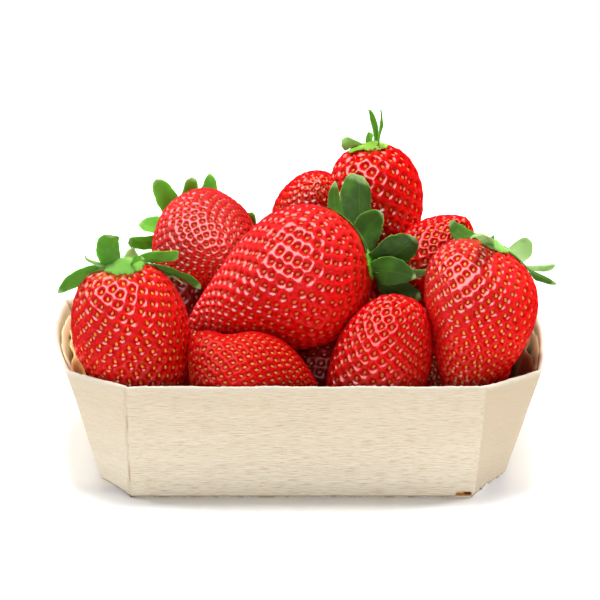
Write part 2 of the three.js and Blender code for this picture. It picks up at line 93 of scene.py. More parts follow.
# The layers in each end: which side, how far they reach from the middle, and the rear ear's gap
# from the wall, with the place where it starts to open.
Ending = namedtuple("Ending", "label side reach open start")
ENDS = (Ending("right", 1, 29.5, 1.6, -26), Ending("left", -1, 33, 2.4, -14))
# Gaps from the wall: the least, how much they open, and where from and to. The flap's waves in and
# out grow from one place to another. The slope is the flap's lower part, which runs to the floor.
EAR_GAP = dict(least=.3, stop=32)
FLAP_GAP = dict(least=.6, open=2.9, start=-31, stop=-8)
FLAP_WAVE = dict(size=.5, turn=.42, start=-25, stop=-14)
LAYER_TOP = dict(wander=.35, fray=.15)
SLOPE = dict(share=.97, inset=1.5, foot=.3, thick=1.0, steps=8)
# Each layer's place from the wall inwards, foot, drop below the rim, and how much painted warm bounce
# light and shade its inside takes.
LAYERS = {"rear_ear": (1, 4, .5, .55), "end_flap": (2, 9, 1.2, 1)}

# What a berry has unless its row says otherwise. taper moves its widest place to the stalk, a
# smaller full is boxier, bend bows its axis and flat squashes one cross direction. gap lies
# between seeds, times crowd at the tip, and step between mesh points. lobes are (along, round in
# degrees, reach, rise), and a rise below 0 is a hollow. blush is the paler ring under the cap,
# the sheen value a painted pale sheen on the sides that face the light, and shade painted shade
# deep in the heap; dull takes off gloss, brown reddens the seeds.
USUAL = dict(taper=1.2, full=.5, bend=0, flat=1, gap=3.4, crowd=.76, step=.7, lobes=(), blush=.15,
             frost=0, shade=0, dull=0, brown=0)


def berry_row(at, stalk, long, wide, **rest):
    """A berry: its middle, the way to its stalk, its length and width, and what isn't usual."""
    return {**USUAL, "at": np.array(at, float), "stalk": stalk, "long": long, "wide": wide, **rest}


BERRIES = {
    "front_left": berry_row(
        (-52.9, -21.5, 40.5), (-.12, -.12, .985), 60, 36.3, taper=1.38, full=.33, bend=-1,
        flat=.96, step=.3, blush=.7, frost=.05),
    "front_right": berry_row(
        (53.3, -21, 48), (.1, .15, .984), 56, 35.6, taper=1.8, full=.43, bend=-4.9, gap=3.15,
        step=.31, frost=.09,
        lobes=((.66, 240, 7, 1.1), (.46, 234, 7, 1.3), (.26, 228, 6, .9), (.5, 205, 6, -1))),
    "low_left": berry_row(
        (-15.5, -31, 34.6), (-1, 0, .09), 39.4, 29.9, taper=1.47, full=.49, flat=.9, gap=2.45,
        step=.29, shade=.22, dull=.9, brown=.3,
        lobes=((.9, 15, 6.6, 4.5), (.31, 15, 11, 2.2), (.73, 15, 3.7, -4.1))),
    "low_right": berry_row(
        (23.4, -25, 33.8), (-.256, 0, -.967), 54, 30.7, taper=1.07, full=.33, bend=-1.35,
        flat=.95, gap=3.5, crowd=.88, step=.3, shade=.05, dull=.35, brown=.5),
    "centre": berry_row(
        (-9, -3, 55.2), (.883, -.101, .458), 63.5, 44.1, taper=1.78, full=.48, bend=-1.1,
        flat=1.05, gap=3.85, crowd=.62, step=.34, brown=.65, frost=.07, blush=0),
    "top": berry_row(
        (23.7, 27, 68.6), (-.09, .05, .995), 47.9, 29.6, taper=1.68, full=.33, bend=-.1, gap=3.75,
        step=.31, brown=.45),
    "back_left": berry_row(
        (-30.2, 20, 62), (-.376, .892, -.249), 37.2, 34, taper=1.26, full=.44, bend=-3, gap=2.7,
        crowd=.9, step=.3, frost=.16, brown=.8),
    "back_mid": berry_row(
        (5, 33, 67.2), (.118, .575, -.81), 40.5, 31.5, taper=1.64, full=.33, bend=-2.9, gap=2.9,
        step=.42, brown=.3),
    "back_right": berry_row(
        (42.4, 7, 62.5), (-.41, .416, -.81), 38.5, 26.1, taper=1.31, full=.56, bend=-1.4, gap=3.3,
        step=.36, dull=.4),
    "rear_left": berry_row((-53, 22, 31), (-.2, .6, .75), 38, 35, gap=3.6, step=.62),
    "rear_mid_left": berry_row((-16, 27, 32), (-.9, .35, -.2), 42, 32, taper=1.3, step=.62),
    "rear_mid_right": berry_row((20, 30, 31), (.7, .6, .1), 38, 31, step=.62),
    "rear_right": berry_row((56, 22, 33), (.2, .6, .75), 39, 34, gap=3.6, step=.62),
    "deep_left": berry_row((-33, -8, 25), (0, .5, 1), 36, 27, gap=3.6, shade=.5, dull=.5),
    "deep_back_left": berry_row(
        (-40, 17, 42), (.1, .5, .8), 34, 28, step=.6, shade=.72, dull=.72, brown=.8),
    "deep_mid": berry_row(
        (7, -10, 27), (.9, .2, .25), 38, 26, full=.45, step=.5, shade=.75, dull=.93, brown=1),
    "deep_right": berry_row((43, -8, 24), (.3, .5, -.8), 34, 26, shade=.5, dull=.5),
    "deep_rear": berry_row((9, 13, 45), (-.9, .3, .2), 34, 26, gap=4.6, shade=.5, dull=.5),
    "deep_far_left": berry_row((-57, 1, 21), (.2, .8, .4), 34, 25, gap=4.6, shade=.4, dull=.4),
    "deep_far_right": berry_row((60, 1, 22), (-.2, .9, .3), 34, 25, gap=4.6, shade=.4, dull=.4),
}
SHEEN_WAY = (-.3, -.2, 1)  # the painted sheen lies on the sides that face this way, towards the light
SHEEN_FADE = (-.1, .8)  # how much a side has to face it, for the first painted sheen and for all of it
# A berry's mesh: its mean girth to the widest, how much of its width adds to its length along the
# outline, samples of the outline for its rings and its seeds, and how far out its ends close.
MESH = dict(girth=.93, outline=.45, samples=400, seed_samples=600, close=.1)
# Low waves round a berry: size, waves round, turn along it.
LUMPS = ((.014, 2, 5), (.014, 3, -4), (.009, 4, 7), (.006, 6, -9))

GOLDEN = math.pi * (3 - math.sqrt(5))  # turn between one seed and the next
SPREAD = 1.08  # seeds stand this share of their gap apart on the body
# Of the pit round a seed, as shares of the gap between seeds: depth, where its wall starts and
# ends, how far the ridge beyond it rises, how much before the wall's end it starts, and its top.
PIT = dict(depth=.22, floor=.18, edge=.42, rise=.07, lip=.08, top=.62)
PIT_ENDS = (.95, .8)  # of the crown: no pits above the first, whole pits below the second
CELL = .87  # area that a seed has to itself, as a share of its gap squared
# How the seeds stray from their even places: along, as a share of a seed's step, and round.
STRAY = dict(along=.3, round=.018)
# A seed: half width, length, thickness to width, where its rings lie, its two ends, the last place
# on the crown that has seeds, how much it leans, how far it stands out of the pit's floor, and how
# far a wall may press the flesh in where seeds stay. drop is the power of its outline, and vary and
# by_gap say how its size grows with its chance and its berry's gap.
SEED = dict(wide=.40, long=1.25, flat=.72, rings=(.14, .38, .64, .88), sides=8, ends=(-.62, .63),
            last=.82, lean=.8, out=.06, pressed=.3, drop=.8, vary=(.8, .25), by_gap=(.9, .1))

# Each cap: where it sits, which way its stalk points, its collar's radius, and how pale, 0 to 1,
# and how spotted the collar is.
CAPS = {
    "front_left": ((-55.2, -24.5, 68.5), (-.05, -.12, 1), 5.6, .82, 0),
    "back_left": ((-36.6, 35.6, 59.2), (-.35, .85, -.25), 4.5, .7, 0),
    "centre": ((21.1, -6, 64.4), (.925, -.1, .33), 4.5, .7, 0),
    "top": ((22.3, 28.1, 92.0), (-.06, .05, 1), 4.4, .7, 1),
    "front_right": ((59.3, -18.6, 74.5), (.17, .1, .98), 4.5, .88, 0),
    "back_mid": ((7.3, 44.1, 51.6), (.118, .575, -.81), 4, .7, 0),
    "rear_left": ((-56.6, 33.0, 44.7), (-.2, .6, .75), 4, .7, 0),
    "rear_right": ((59.7, 33.3, 47.1), (.2, .6, .75), 4, .7, 0),
}

# Leaves of each cap: azimuth round the stalk, length, width, starting lift, curl, roll, how blunt
# the tip is, the tone from 0, dark green, to 1, pale, and how far the very tip hooks over.
LEAVES = {
    "front_left": [
        (151, 12.5, 8.1, 45, 75, 38, 1.2, .5, 0), (176, 11.6, 1.8, 18, 14, 46, .1, .9, 60),
        (182, 20.7, 5.3, 8, -53, 89, .4, .5, 0), (32, 17.5, 5.4, 19, -46, -119, 1.5, .6, 0),
        (78, 15.8, 4.8, 20, -63, -91, 0, .9, 0), (20, 25.4, 3.7, -4, -46, -132, 1.1, .2, 0),
        (27, 20.5, 2.6, -9, -41, 159, .6, 1, 0), (319, 10.1, 2.2, 89, -88, -79, .8, .6, 0)],
    "back_left": [
        (7, 20.7, 7.1, -6, 6, 30, 1.1, .7, 0), (35, 18.5, 5.5, -6, -18, 4, 1.3, .75, 0),
        (55, 23.1, 6.6, -59, 105, 23, .3, .5, 0), (329, 15.9, 8.4, 5, 58, -41, .7, .75, 0),
        (305, 18.4, 5.4, 1, 41, 26, 1.3, .7, 0), (112, 25.3, 9.3, -32, -48, 41, 1.6, .65, 0),
        (150, 16, 6, 10, -30, 0, .4, .4, 0), (200, 17, 6.5, 0, -30, 0, .5, .35, 0),
        (255, 16, 6, 10, -35, 0, .4, .45, 0)],
    "centre": [
        (140, 28.3, 10.8, -9, 29, 50, 1.5, .05, 30), (153, 28.4, 4.9, -43, 69, 63, .6, .3, 0),
        (145, 16.7, 10.2, -20, 105, 57, .5, .15, 0), (155, 16.7, 10.3, 109, -51, 64, .8, 0, 0),
        (295, 17.3, 9.1, 64, -17, 70, 0, .1, 0), (336, 18.6, 6.6, 57, 36, 26, .2, .9, 0),
        (338, 18, 7.3, 25, 40, 111, .9, .05, 0), (60, 15, 6, 20, -50, 0, .4, .3, 0),
        (100, 15, 6, 10, -40, 0, .4, .3, 0)],
    "top": [
        (63, 15, 2.1, 81, 51, -16, .1, .5, 40), (318, 13.6, 2, 80, -3, -34, 1.1, .45, 40),
        (149, 9.7, 5.1, 18, -35, -85, 1.3, .85, 0), (195, 6, 4.5, 15, -30, 0, .9, .65, 0),
        (98, 6.2, 3.7, 26, 25, -156, .1, .5, 0),
        (125, 11, 5, 0, -60, 0, .4, .5, 0), (80, 8, 4, 0, -60, 0, .4, .5, 0)],
    "front_right": [
        (127, 21, 5.3, -10, 25, 53, .9, .4, 0), (236, 15.8, 4.5, 51, -69, -27, 0, .95, 0),
        (42, 15.5, 8.1, -55, 132, -22, .8, .95, 0), (17, 21, 2.4, -50, 76, -41, 1.3, .9, 0),
        (10, 22.1, 3.6, -41, 31, -51, .4, .2, 0), (111, 3.3, 1.4, 66, 46, 0, .1, .7, 0),
        (70, 10, 5, 0, -50, 0, .4, .4, 0), (110, 10, 5, 0, -50, 0, .4, .4, 0)],
}
REAR_LEAVES = dict(count=7, long=14, wide=6, lift=25, curl=-55, blunt=.3, tone=.3, vary=.2)

# Of a leaf: where it starts from the stalk, the share of its outline that the root cuts off, how
# steeply its halves fold up, its ripple, its midrib, its least half width, its gap from the
# berries, where its tip's hook starts, and how far its rims wave and its middle is channelled.
LEAF = dict(ring=2.2, root=.12, fold=.16, wave=.35, rib=.13, least=.12, clear=.4, hook=.82,
            rim=.22, channel=.14, rows=26, columns=15)
# Powers of a leaf's outline, along it and across: what they are if it isn't blunt, and how much
# being blunt adds.
LEAF_POWERS = ((.9, .6), (.75, -.35))
LEAF_RAGGED = ((.03, 1.6), (.02, 4.3))  # waves of its rim: share of the width, turn a millimetre
FAR_OUT = 6.0  # times a point's distance from a berry's middle, where it surely is outside
HALVINGS = 20
# A collar's rings: share of its radius and thickness.
COLLAR = dict(share=(.25, .5, .75, 1.0), thick=(1.5, .9, .6, .35), sides=72, drop=.2, seat=.3,
              stump=.4, length=.2, teeth=.05)

CORE = dict(middle_y=8, sides=72, rows=30, lump=.03,
            layers=((2, 50, 32), (14, 56, 32), (26, 54, 26), (36, 44, 17), (44, 28, 9)))

FLOOR = dict(sides=96, grey=.93, rough=.95)
SKY = dict(behind=(-.1, .6), light=.75, mirrored=.012)  # where it starts and is whole, its strength
SENSOR = 36
# Lamps, in metres: place, width, height, the power that drives it and its share of that power.
# The shine ones are only seen as they mirror, and the others only by what they light.
LAMPS = (
    ("shine_box", (-.42, -.36, .9), 1.6, 1.05, "shine", 1),
    ("shine_low", (-.25, -1.0, .42), .8, .22, "shine", .035),
    ("key_box", (-.42, -.36, .9), 1.1, .7, "key", 1),
    ("top_box", (0, .15, 1.1), .42, .42, "top", 1),
    ("front_box", (0, -1.2, .24), 1.4, .4, "front", 1),
    ("left_box", (-.65, .3, .2), .3, .3, "side", .9),
    ("right_box", (.65, .3, .2), .3, .3, "side", 1.3),
)


# ------------------------------------------------------------------ shapes from arrays


class Shape:
    """Points, faces and one value a point for each named attribute, as whole arrays."""

    def __init__(self, points, faces):
        self.points = points
        self.faces = faces
        self.values = {}

    def with_values(self, **values):
        count = len(self.points)
        for name, value in values.items():
            self.values[name] = np.broadcast_to(np.asarray(value, float).reshape(-1), (count,)).copy()
        return self


def merged(shapes):
    """One shape of several, with the same attributes."""
    starts = np.cumsum([0] + [len(shape.points) for shape in shapes])
    faces = [block + start for shape, start in zip(shapes, starts) for block in shape.faces]
    whole = Shape(np.concatenate([shape.points for shape in shapes]), faces)
    return whole.with_values(**{name: np.concatenate([shape.values[name] for shape in shapes])
                                for name in shapes[0].values})


def turned_out(points, faces):
    """The faces, turned over if they face inwards: if the volume inside, summed from the cross
    products of each face's fan of triangles, is below 0."""
    total = 0.0
    for block in faces:
        corners = points[block]
        for k in range(1, block.shape[1] - 1):
            total += np.einsum("ij,ij->", corners[:, 0], np.cross(corners[:, k], corners[:, k + 1]))
    return [block[:, ::-1] for block in faces] if total < 0 else faces


def tube(rings, ends):
    """A grid of rings, closed round each ring. The ends close on one point each, or, where ends is
    None, the last ring runs on into the first."""
    rows, columns = rings.shape[:2]
    points = rings.reshape(-1, 3)
    i, j = np.indices((rows if ends is None else rows - 1, columns)).reshape(2, -1)
    after, beside = (i + 1) % rows, (j + 1) % columns
    faces = [np.stack([i * columns + j, i * columns + beside,
                       after * columns + beside, after * columns + j], axis=1)]
    if ends is not None:
        here = np.arange(columns)
        there = (here + 1) % columns
        top = (rows - 1) * columns
        first, last = np.full(columns, len(points)), np.full(columns, len(points) + 1)
        faces += [np.stack([there, here, first], axis=1),
                  np.stack([top + here, top + there, last], axis=1)]
        points = np.vstack([points, np.asarray(ends, float)])
    return Shape(points, turned_out(points, faces))


def capped(rings):
    """A tube whose ends close on the middles of its first and last ring."""
    return tube(rings, [rings[0].mean(0), rings[-1].mean(0)])


def grid_values(array, ends=(0.0, 0.0)):
    """The values of a tube's points, ring by ring, with those of its two end points."""
    return np.concatenate([np.asarray(array, float).ravel(), ends])


def piece(name, shape, material):
    """A Blender object from a shape in millimetres, smooth, that rides with the punnet."""
    mesh = bpy.data.meshes.new(name)
    faces = [face for block in shape.faces for face in block.tolist()]
    mesh.from_pydata((shape.points * MM).tolist(), [], faces)
    mesh.polygons.foreach_set("use_smooth", np.ones(len(faces), bool))
    for key, value in shape.values.items():
        mesh.attributes.new(key, "FLOAT", "POINT").data.foreach_set("value", value.astype(np.float32))
    mesh.materials.append(material)
    mesh.update()
    thing = bpy.data.objects.new(name, mesh)
    bpy.context.scene.collection.objects.link(thing)
    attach(thing, "root")
    return thing


def round_steps(count):
    """Angles that divide a turn evenly."""
    return np.arange(count) * 2 * np.pi / count


def unit(vectors):
    """Each vector divided by its length."""
    vectors = np.asarray(vectors, float)
    return vectors / np.maximum(np.linalg.norm(vectors, axis=-1, keepdims=True), 1e-12)


def smooth(low, high, value):
    """0 below low, 1 above high and the cubic 3t^2 - 2t^3 between."""
    t = np.clip((value - low) / (high - low), 0, 1)
    return t * t * (3 - 2 * t)


def straight(pair, value):
    """The first of the pair, and the second for each unit of the value."""
    return pair[0] + pair[1] * value


# ------------------------------------------------------------------ shader sums


class Value:
    """A socket that sums are written with: +, - and * between values and numbers add Math nodes."""

    def __init__(self, shader, socket):
        self.shader = shader
        self.socket = socket


def operator(operation, turned):
    """A method that adds a Math node of the value and another, turned round if asked."""
    def method(self, other):
        return self.shader.math(operation, *((other, self) if turned else (self, other)))
    return method


for word in ("add", "subtract", "multiply"):
    setattr(Value, f"__{word[:3]}__", operator(word.upper(), False))
    setattr(Value, f"__r{word[:3]}__", operator(word.upper(), True))


class Shader:
    """The nodes of a material or a world, added by expressions. The surface is the node that they
    feed in the end."""

    def __init__(self, holder, surface="Principled BSDF"):
        holder.use_nodes = True
        self.holder = holder
        self.tree = holder.node_tree
        self.surface = self.tree.nodes[surface]

    def node(self, kind, settings=None, sockets=None, output=0):
        node = self.tree.nodes.new("ShaderNode" + kind)
        for key, setting in (settings or {}).items():
            setattr(node, key, setting)
        for key, value in (sockets or {}).items():
            self.feed(node.inputs[key], value)
        return Value(self, node.outputs[output])

    def feed(self, socket, value):
        if isinstance(value, Value):
            self.tree.links.new(value.socket, socket)
        elif socket.type == "RGBA" and len(value) == 3:
            socket.default_value = (*value, 1)
        else:
            socket.default_value = value

    def set(self, **sockets):
        """Feeds the surface's sockets, named with _ for a space."""
        for key, value in sockets.items():
            self.feed(self.surface.inputs[key.replace("_", " ")], value)

    def math(self, operation, *values):
        return self.node("Math", {"operation": operation}, dict(enumerate(values)))

    def attribute(self, name):
        return self.node("Attribute", {"attribute_name": name}, output="Fac")

    def position(self):
        return self.node("TexCoord", output="Object")

    def noise(self, place, scale, detail=3.0, roughness=.5):
        return self.node("TexNoise", None, {"Vector": place, "Scale": scale, "Detail": detail,
                                            "Roughness": roughness})

    def grain(self, x, y, z, detail, roughness=.5):
        """Noise at a place that is given by three values, one cell to a unit."""
        return self.noise(self.node("CombineXYZ", None, {0: x, 1: y, 2: z}), 1.0, detail, roughness)

    def step(self, value, low, high):
        """0 where value is below low, 1 above high, smooth between."""
        return self.node("MapRange", {"interpolation_type": "SMOOTHSTEP"},
                         {"Value": value, "From Min": low, "From Max": high})

    def layers(self, colour, *pairs):
        """A colour with others laid over it in turn, each by its share."""
        for over, share in pairs:
            colour = self.node("Mix", {"data_type": "RGBA"}, {0: share, 6: colour, 7: over}, 2)
        return colour

    def bump(self, height, distance, strength):
        return self.node("Bump", None, {"Height": height, "Distance": distance, "Strength": strength})


# ------------------------------------------------------------------ basket walls


def sides():
    """Each corner of the wall with the next."""
    return zip(CORNERS, CORNERS[1:] + CORNERS[:1])


def fold_x(corner, height):
    """Where the score line at a corner is, from its foot straight to its rim."""
    return corner.foot[0] + (corner.rim[0] - corner.foot[0]) * height / RIM


def stations():
    """Places right round the wall in order of CORNERS: foot, rim, inward direction and distance
    along the rim. Between two corners both lines run straight and swell out by half a sine wave;
    a foot that rises does so by the power FOOT_RISE."""
    foot, rim = [], []
    for start, stop in sides():
        count = max(2, round(math.dist(start.rim, stop.rim) / SPACING))
        t = np.arange(count)[:, None] / count
        lift = t ** FOOT_RISE if stop.foot[2] > start.foot[2] else 1 - (1 - t) ** FOOT_RISE
        out = math.copysign(1, start.foot[0] + stop.foot[0]) * np.sin(np.pi * t) * (1, 0, 0)
        run = (stop.foot - start.foot) * np.hstack([t, t, lift])
        foot.append(start.foot + run + start.swell[0] * out)
        rim.append(start.rim + (stop.rim - start.rim) * t + start.swell[1] * out)
    foot, rim = np.concatenate(foot), np.concatenate(rim)
    along = np.roll(rim, -1, axis=0) - np.roll(rim, 1, axis=0)
    inward = unit(np.column_stack([-along[:, 1], along[:, 0], np.zeros(len(rim))]))
    steps = np.linalg.norm(rim - np.roll(rim, 1, axis=0), axis=1)
    steps[0] = 0
    return foot, rim, inward, np.cumsum(steps)


def wall_points(foot, rim, inward, heights, inset):
    """Points on the wall at each station (rows) and height (columns), moved in by inset."""
    t = (heights - foot[:, None, 2]) / (rim[:, None, 2] - foot[:, None, 2])
    line = foot[:, None] + (rim - foot)[:, None] * t[..., None]
    return line + inward[:, None] * inset[..., None]


def sheet_section(low, high, steps):
    """A closed section of a sheet: heights and depths (0 outside, 1 inside) from the outer foot up
    to the rim, over its rounded edge, down the inside and back, and 1 where it is the raw edge.
    low and high are arrays. Steps grow upwards by the power 1.4."""
    up = np.linspace(0, 1, steps) ** 1.4
    raw = (up > .999).astype(float)
    height = low[:, None] + (high - low)[:, None] * np.concatenate([up, [1, 1], up[::-1], [0, 0]])
    depth = np.concatenate([np.zeros(steps), [.33, .67], np.ones(steps), [.67, .33]])
    edge = np.concatenate([raw, [1, 1], raw[::-1], [0, 0]])
    drop = np.zeros(len(edge))
    drop[[steps - 1, steps + 2]] = -ROUNDED
    return height + drop, depth, edge


def wander(place, seed, lengths=(31.0, 13.0, 5.3), amounts=(1.0, .5, .25)):
    """A smooth uneven line: a sum of sines of unlike lengths, with phases drawn from the seed."""
    draw = np.random.default_rng(seed)
    phases = draw.uniform(0, 2 * np.pi, len(lengths))
    waves = [a * np.sin(2 * np.pi * place / l + p) for l, a, p in zip(lengths, amounts, phases)]
    return np.sum(waves, axis=0)


def fray(place, seed, size):
    """A fine ragged line: the cube of a random height at about every half millimetre, joined up."""
    draw = np.random.default_rng(seed)
    knots = np.arange(place.min() - 1, place.max() + 2, .45)
    return size * np.interp(place, knots, draw.uniform(-1, 1, len(knots)) ** 3)


def shell_shape():
    """The outer sheet, right round: a section swept along the stations. The wall is pressed in a
    little at each score line, the chip and its worn foot, and wanders gently in and out."""
    foot, rim, inward, along = stations()
    torn = smooth(*TORN["start"], foot[:, 0]) * smooth(*TORN["stop"], foot[:, 0]) * (foot[:, 1] < 0)
    low = foot[:, 2] + fray(along, 3, SHELL_EDGE["foot_fray"])
    low = low + torn * (TORN["wave"] * np.sin(along * 1.1) + fray(along, 8, TORN["fray"]))
    high = RIM + fray(along, 4, SHELL_EDGE["fray"]) + SHELL_EDGE["wander"] * wander(along, 5)
    height, depth, edge = sheet_section(low, high, SHELL_ROWS)
    line = wall_points(foot, rim, inward, height, depth[None] * VENEER + 0 * height)
    x, y = line[..., 0], line[..., 1]
    outer = depth[None] < .1

    score = np.zeros(height.shape)
    for corner in (CORNERS[k] for k in FOLDED):
        faint = SCORE["faint"] if corner.foot[0] > 0 else 1
        near = np.exp(-((x - fold_x(corner, height)) / SCORE["half"]) ** 2)
        score = score + faint * near * (y * corner.foot[1] > 0)
    uneven = .5 + .5 * np.sin(height * .9 + 2 * np.sin(height * .37)) * np.sin(
        height * .21 + along[:, None])

    first, last = NOTCH["soft"]
    span = smooth(NOTCH["start"] - first, NOTCH["start"] + first, x)
    span = span * smooth(NOTCH["stop"] + last, NOTCH["stop"] - last, x) * (y < 0) * outer
    chip = span * (height < NOTCH["top"])
    wedge = (x - NOTCH["start"]) / (NOTCH["stop"] - NOTCH["start"])
    # The gouge is pressed in, and its dark colour is painted shade, carried by chip values above 1.
    shaded_gouge = chip * (height > NOTCH["top"] - GOUGE["high"] * wedge)
    worn = np.clip(1 - (height - low[:, None]) / WORN, 0, 1) ** 2
    press = SCORE["press"] * score * outer + NOTCH["press"] * chip + GOUGE["press"] * shaded_gouge
    press = press + WORN * worn * outer
    bulge = wander(along, 6, *BULGE)[:, None] * np.sin(np.pi * np.clip(height / RIM, 0, 1))
    points = line + inward[:, None] * (press + bulge)[..., None]
    last_fold = np.where(x > 0, fold_x(CORNERS[1], height), -fold_x(CORNERS[0], height))
    end = smooth(-.5, 1.5, np.abs(x) - last_fold) * np.sign(x)
    # inner marks the ends' inside faces, which take painted warm bounce light and shade.
    return tube(points, None).with_values(
        along=np.broadcast_to(along[:, None], height.shape), up=height, score=score * uneven,
        edge=np.broadcast_to(edge, height.shape), turned=end,
        inner=.35 * np.abs(end) * (depth[None] > .9), chip=chip + shaded_gouge)


def end_layers(thick):
    """The two layers inside each end: the rear ear, and the floor's end flap, which slopes up from
    the floor to the wall. Both stand a little apart from the wall, and their tops wander."""
    foot, rim, inward, along = stations()
    shapes = {}
    for end in ENDS:
        pick = (end.side * rim[:, 0] > ENDS_FROM) & (np.abs(rim[:, 1]) < end.reach)
        line, place, y = (foot[pick], rim[pick], inward[pick]), along[pick], rim[pick][:, 1]
        wave = FLAP_WAVE["size"] * np.sin(y * FLAP_WAVE["turn"] - end.side)
        gaps = {"rear_ear": EAR_GAP["least"] + end.open * smooth(end.start, EAR_GAP["stop"], y),
                "end_flap": (FLAP_GAP["least"]
                             + FLAP_GAP["open"] * smooth(FLAP_GAP["start"], FLAP_GAP["stop"], y)
                             + wave * smooth(FLAP_WAVE["start"], FLAP_WAVE["stop"], y))}
        for kind, (number, low, drop, brown) in LAYERS.items():
            top = RIM - drop + LAYER_TOP["wander"] * wander(place, 10 * number + end.side)
            top = top + fray(place, number, LAYER_TOP["fray"])
            height, depth, edge = sheet_section(np.full(len(place), float(low)), top, LAYER_ROWS)
            apart = VENEER + gaps[kind][:, None] * smooth(2, RIM, height)
            points = wall_points(*line, height, apart + depth[None] * thick)
            if kind == "end_flap":
                points = with_slope(points, end.side)
            ones = np.ones(points.shape[:2])
            edge = np.pad(edge, (0, points.shape[1] - len(edge)))
            shapes[f"{kind}_{end.label}"] = capped(points).with_values(
                along=grid_values(ones * place[:, None]), up=grid_values(points[..., 2] + 60 * number),
                turned=grid_values(ones * 2 * end.side, (2 * end.side, 2 * end.side)),
                edge=grid_values(ones * edge * .15), score=0, chip=0, inner=brown)
    return shapes


def with_slope(points, side):
    """A flap's sections carried on from its foot down to the end of the floor."""
    y = np.linspace(-1, 1, len(points)) * FLOOR_CORNER[1] * SLOPE["share"]
    past = np.maximum(np.abs(y) - FLOOR_END[1], 0) / (FLOOR_CORNER[1] - FLOOR_END[1])
    x = side * (FLOOR_END[0] + (FLOOR_CORNER[0] - FLOOR_END[0]) * past - SLOPE["inset"])
    y = y if points[0, 0, 1] < points[-1, 0, 1] else -y
    low_out = np.column_stack([x, y, np.full(len(y), VENEER * SLOPE["foot"])])
    low_in = low_out + SLOPE["thick"] * np.array([(-side, 0, 1)])
    t = np.linspace(0, 1, SLOPE["steps"])[1:-1, None, None]
    inside_run = points[:, -3][None] * (1 - t) + low_in[None] * t
    outside_run = low_out[None] * (1 - t) + points[:, 0][None] * t
    extra = np.concatenate([inside_run, low_in[None], low_out[None], outside_run])
    return np.concatenate([points[:, :-2], extra.transpose(1, 0, 2)], axis=1)


def floor_shape():
    """The floor: a plate of the sheet's thickness between the walls' feet, with cut corners."""
    reach_y = CORNERS[4].foot[1] - FLOOR_INSET
    y = np.linspace(-reach_y, reach_y, 44)
    reach = np.interp(np.abs(y), [FLOOR_END[1], FLOOR_CORNER[1], reach_y],
                      [FLOOR_END[0], FLOOR_CORNER[0], CORNERS[1].foot[0]]) - FLOOR_INSET
    t = np.linspace(-1, 1, 40)
    x = reach[:, None] * t
    top = np.stack([x, np.repeat(y[:, None], len(t), 1), np.full_like(x, VENEER)], axis=-1)
    shape = capped(np.concatenate([top, top[:, ::-1] * (1, 1, 0)], axis=1))
    return shape.with_values(along=shape.points[:, 0] + 500, up=shape.points[:, 1] * .8 + 200,
                             score=0, edge=0, turned=0, inner=0, chip=0)


# ------------------------------------------------------------------ berries


def axes(way):
    """A direction and two directions across it."""
    stalk = unit(way)
    helper = np.array([0, 1, 0]) if abs(stalk[1]) < .9 else np.array([1, 0, 0])
    side = unit(np.cross(helper, stalk))
    return stalk, side, np.cross(stalk, side)


def radius(berry, s):
    """Half the width times sin(pi s^taper)^full, s from the tip, 0, to the stalk, 1."""
    return berry["wide"] / 2 * np.sin(np.pi * np.clip(s, 0, 1) ** berry["taper"]) ** berry["full"]


def bow(berry, s):
    """How far the berry's axis lies to one side, so that it is bent like an arc."""
    return berry["bend"] * ((2 * s - 1) ** 2 - 1 / 3)


def crown(berry, s):
    """0 on the body, rising at the stalk end to 1 where the flesh closes: 1 - radius / widest."""
    return np.where(s > .5, 1 - 2 * radius(berry, s) / berry["wide"], 0)


def seed_gap(berry, s):
    """The gap between seeds: crowd of it at the tip, SPREAD of it from just past the middle on."""
    return berry["gap"] * (berry["crowd"] + (SPREAD - berry["crowd"]) * smooth(0, .55, s))


def berry_points(berry, s, angle, seed):
    """The plain flesh: rings of the radius above round the bowed axis, made uneven by low waves
    round the berry."""
    stalk, side, cross = axes(berry["stalk"])
    phases = np.random.default_rng(seed).uniform(0, 2 * np.pi, len(LUMPS))
    waves = sum(size * np.sin(around * angle + turn * s + phase)
                for (size, around, turn), phase in zip(LUMPS, phases))
    r = radius(berry, s) * (1 + np.sin(np.pi * np.clip(s, 0, 1)) * waves)
    return (berry["at"] + (r * np.cos(angle) + bow(berry, s))[..., None] * side
            + (r * np.sin(angle) * berry["flat"])[..., None] * cross
            + (berry["long"] * (s - .5))[..., None] * stalk)


def lobed(berry, points, normals, seed):
    """Moves points along their normals by each lobe's rise, which fades from the lobe's middle as
    exp(-(distance / reach)^2)."""
    moved = points.copy()
    for along, turn, reach, rise in berry["lobes"]:
        middle = berry_points(berry, np.array(along), np.array(math.radians(turn)), seed)
        away = ((points - middle) ** 2).sum(-1) / reach ** 2
        moved += normals * (rise * np.exp(-away))[..., None]
    return moved


def inside(points, berry, grown):
    """True where a point is in the berry grown by a distance."""
    stalk, side, cross = axes(berry["stalk"])
    off = points - berry["at"]
    s = off @ stalk / (berry["long"] + 2 * grown) + .5
    across = np.hypot(off @ side - bow(berry, s), off @ cross / berry["flat"])
    limit = radius(berry, s) * (1 + 2 * grown / berry["wide"])
    return (s > 0) & (s < 1) & (across < limit)


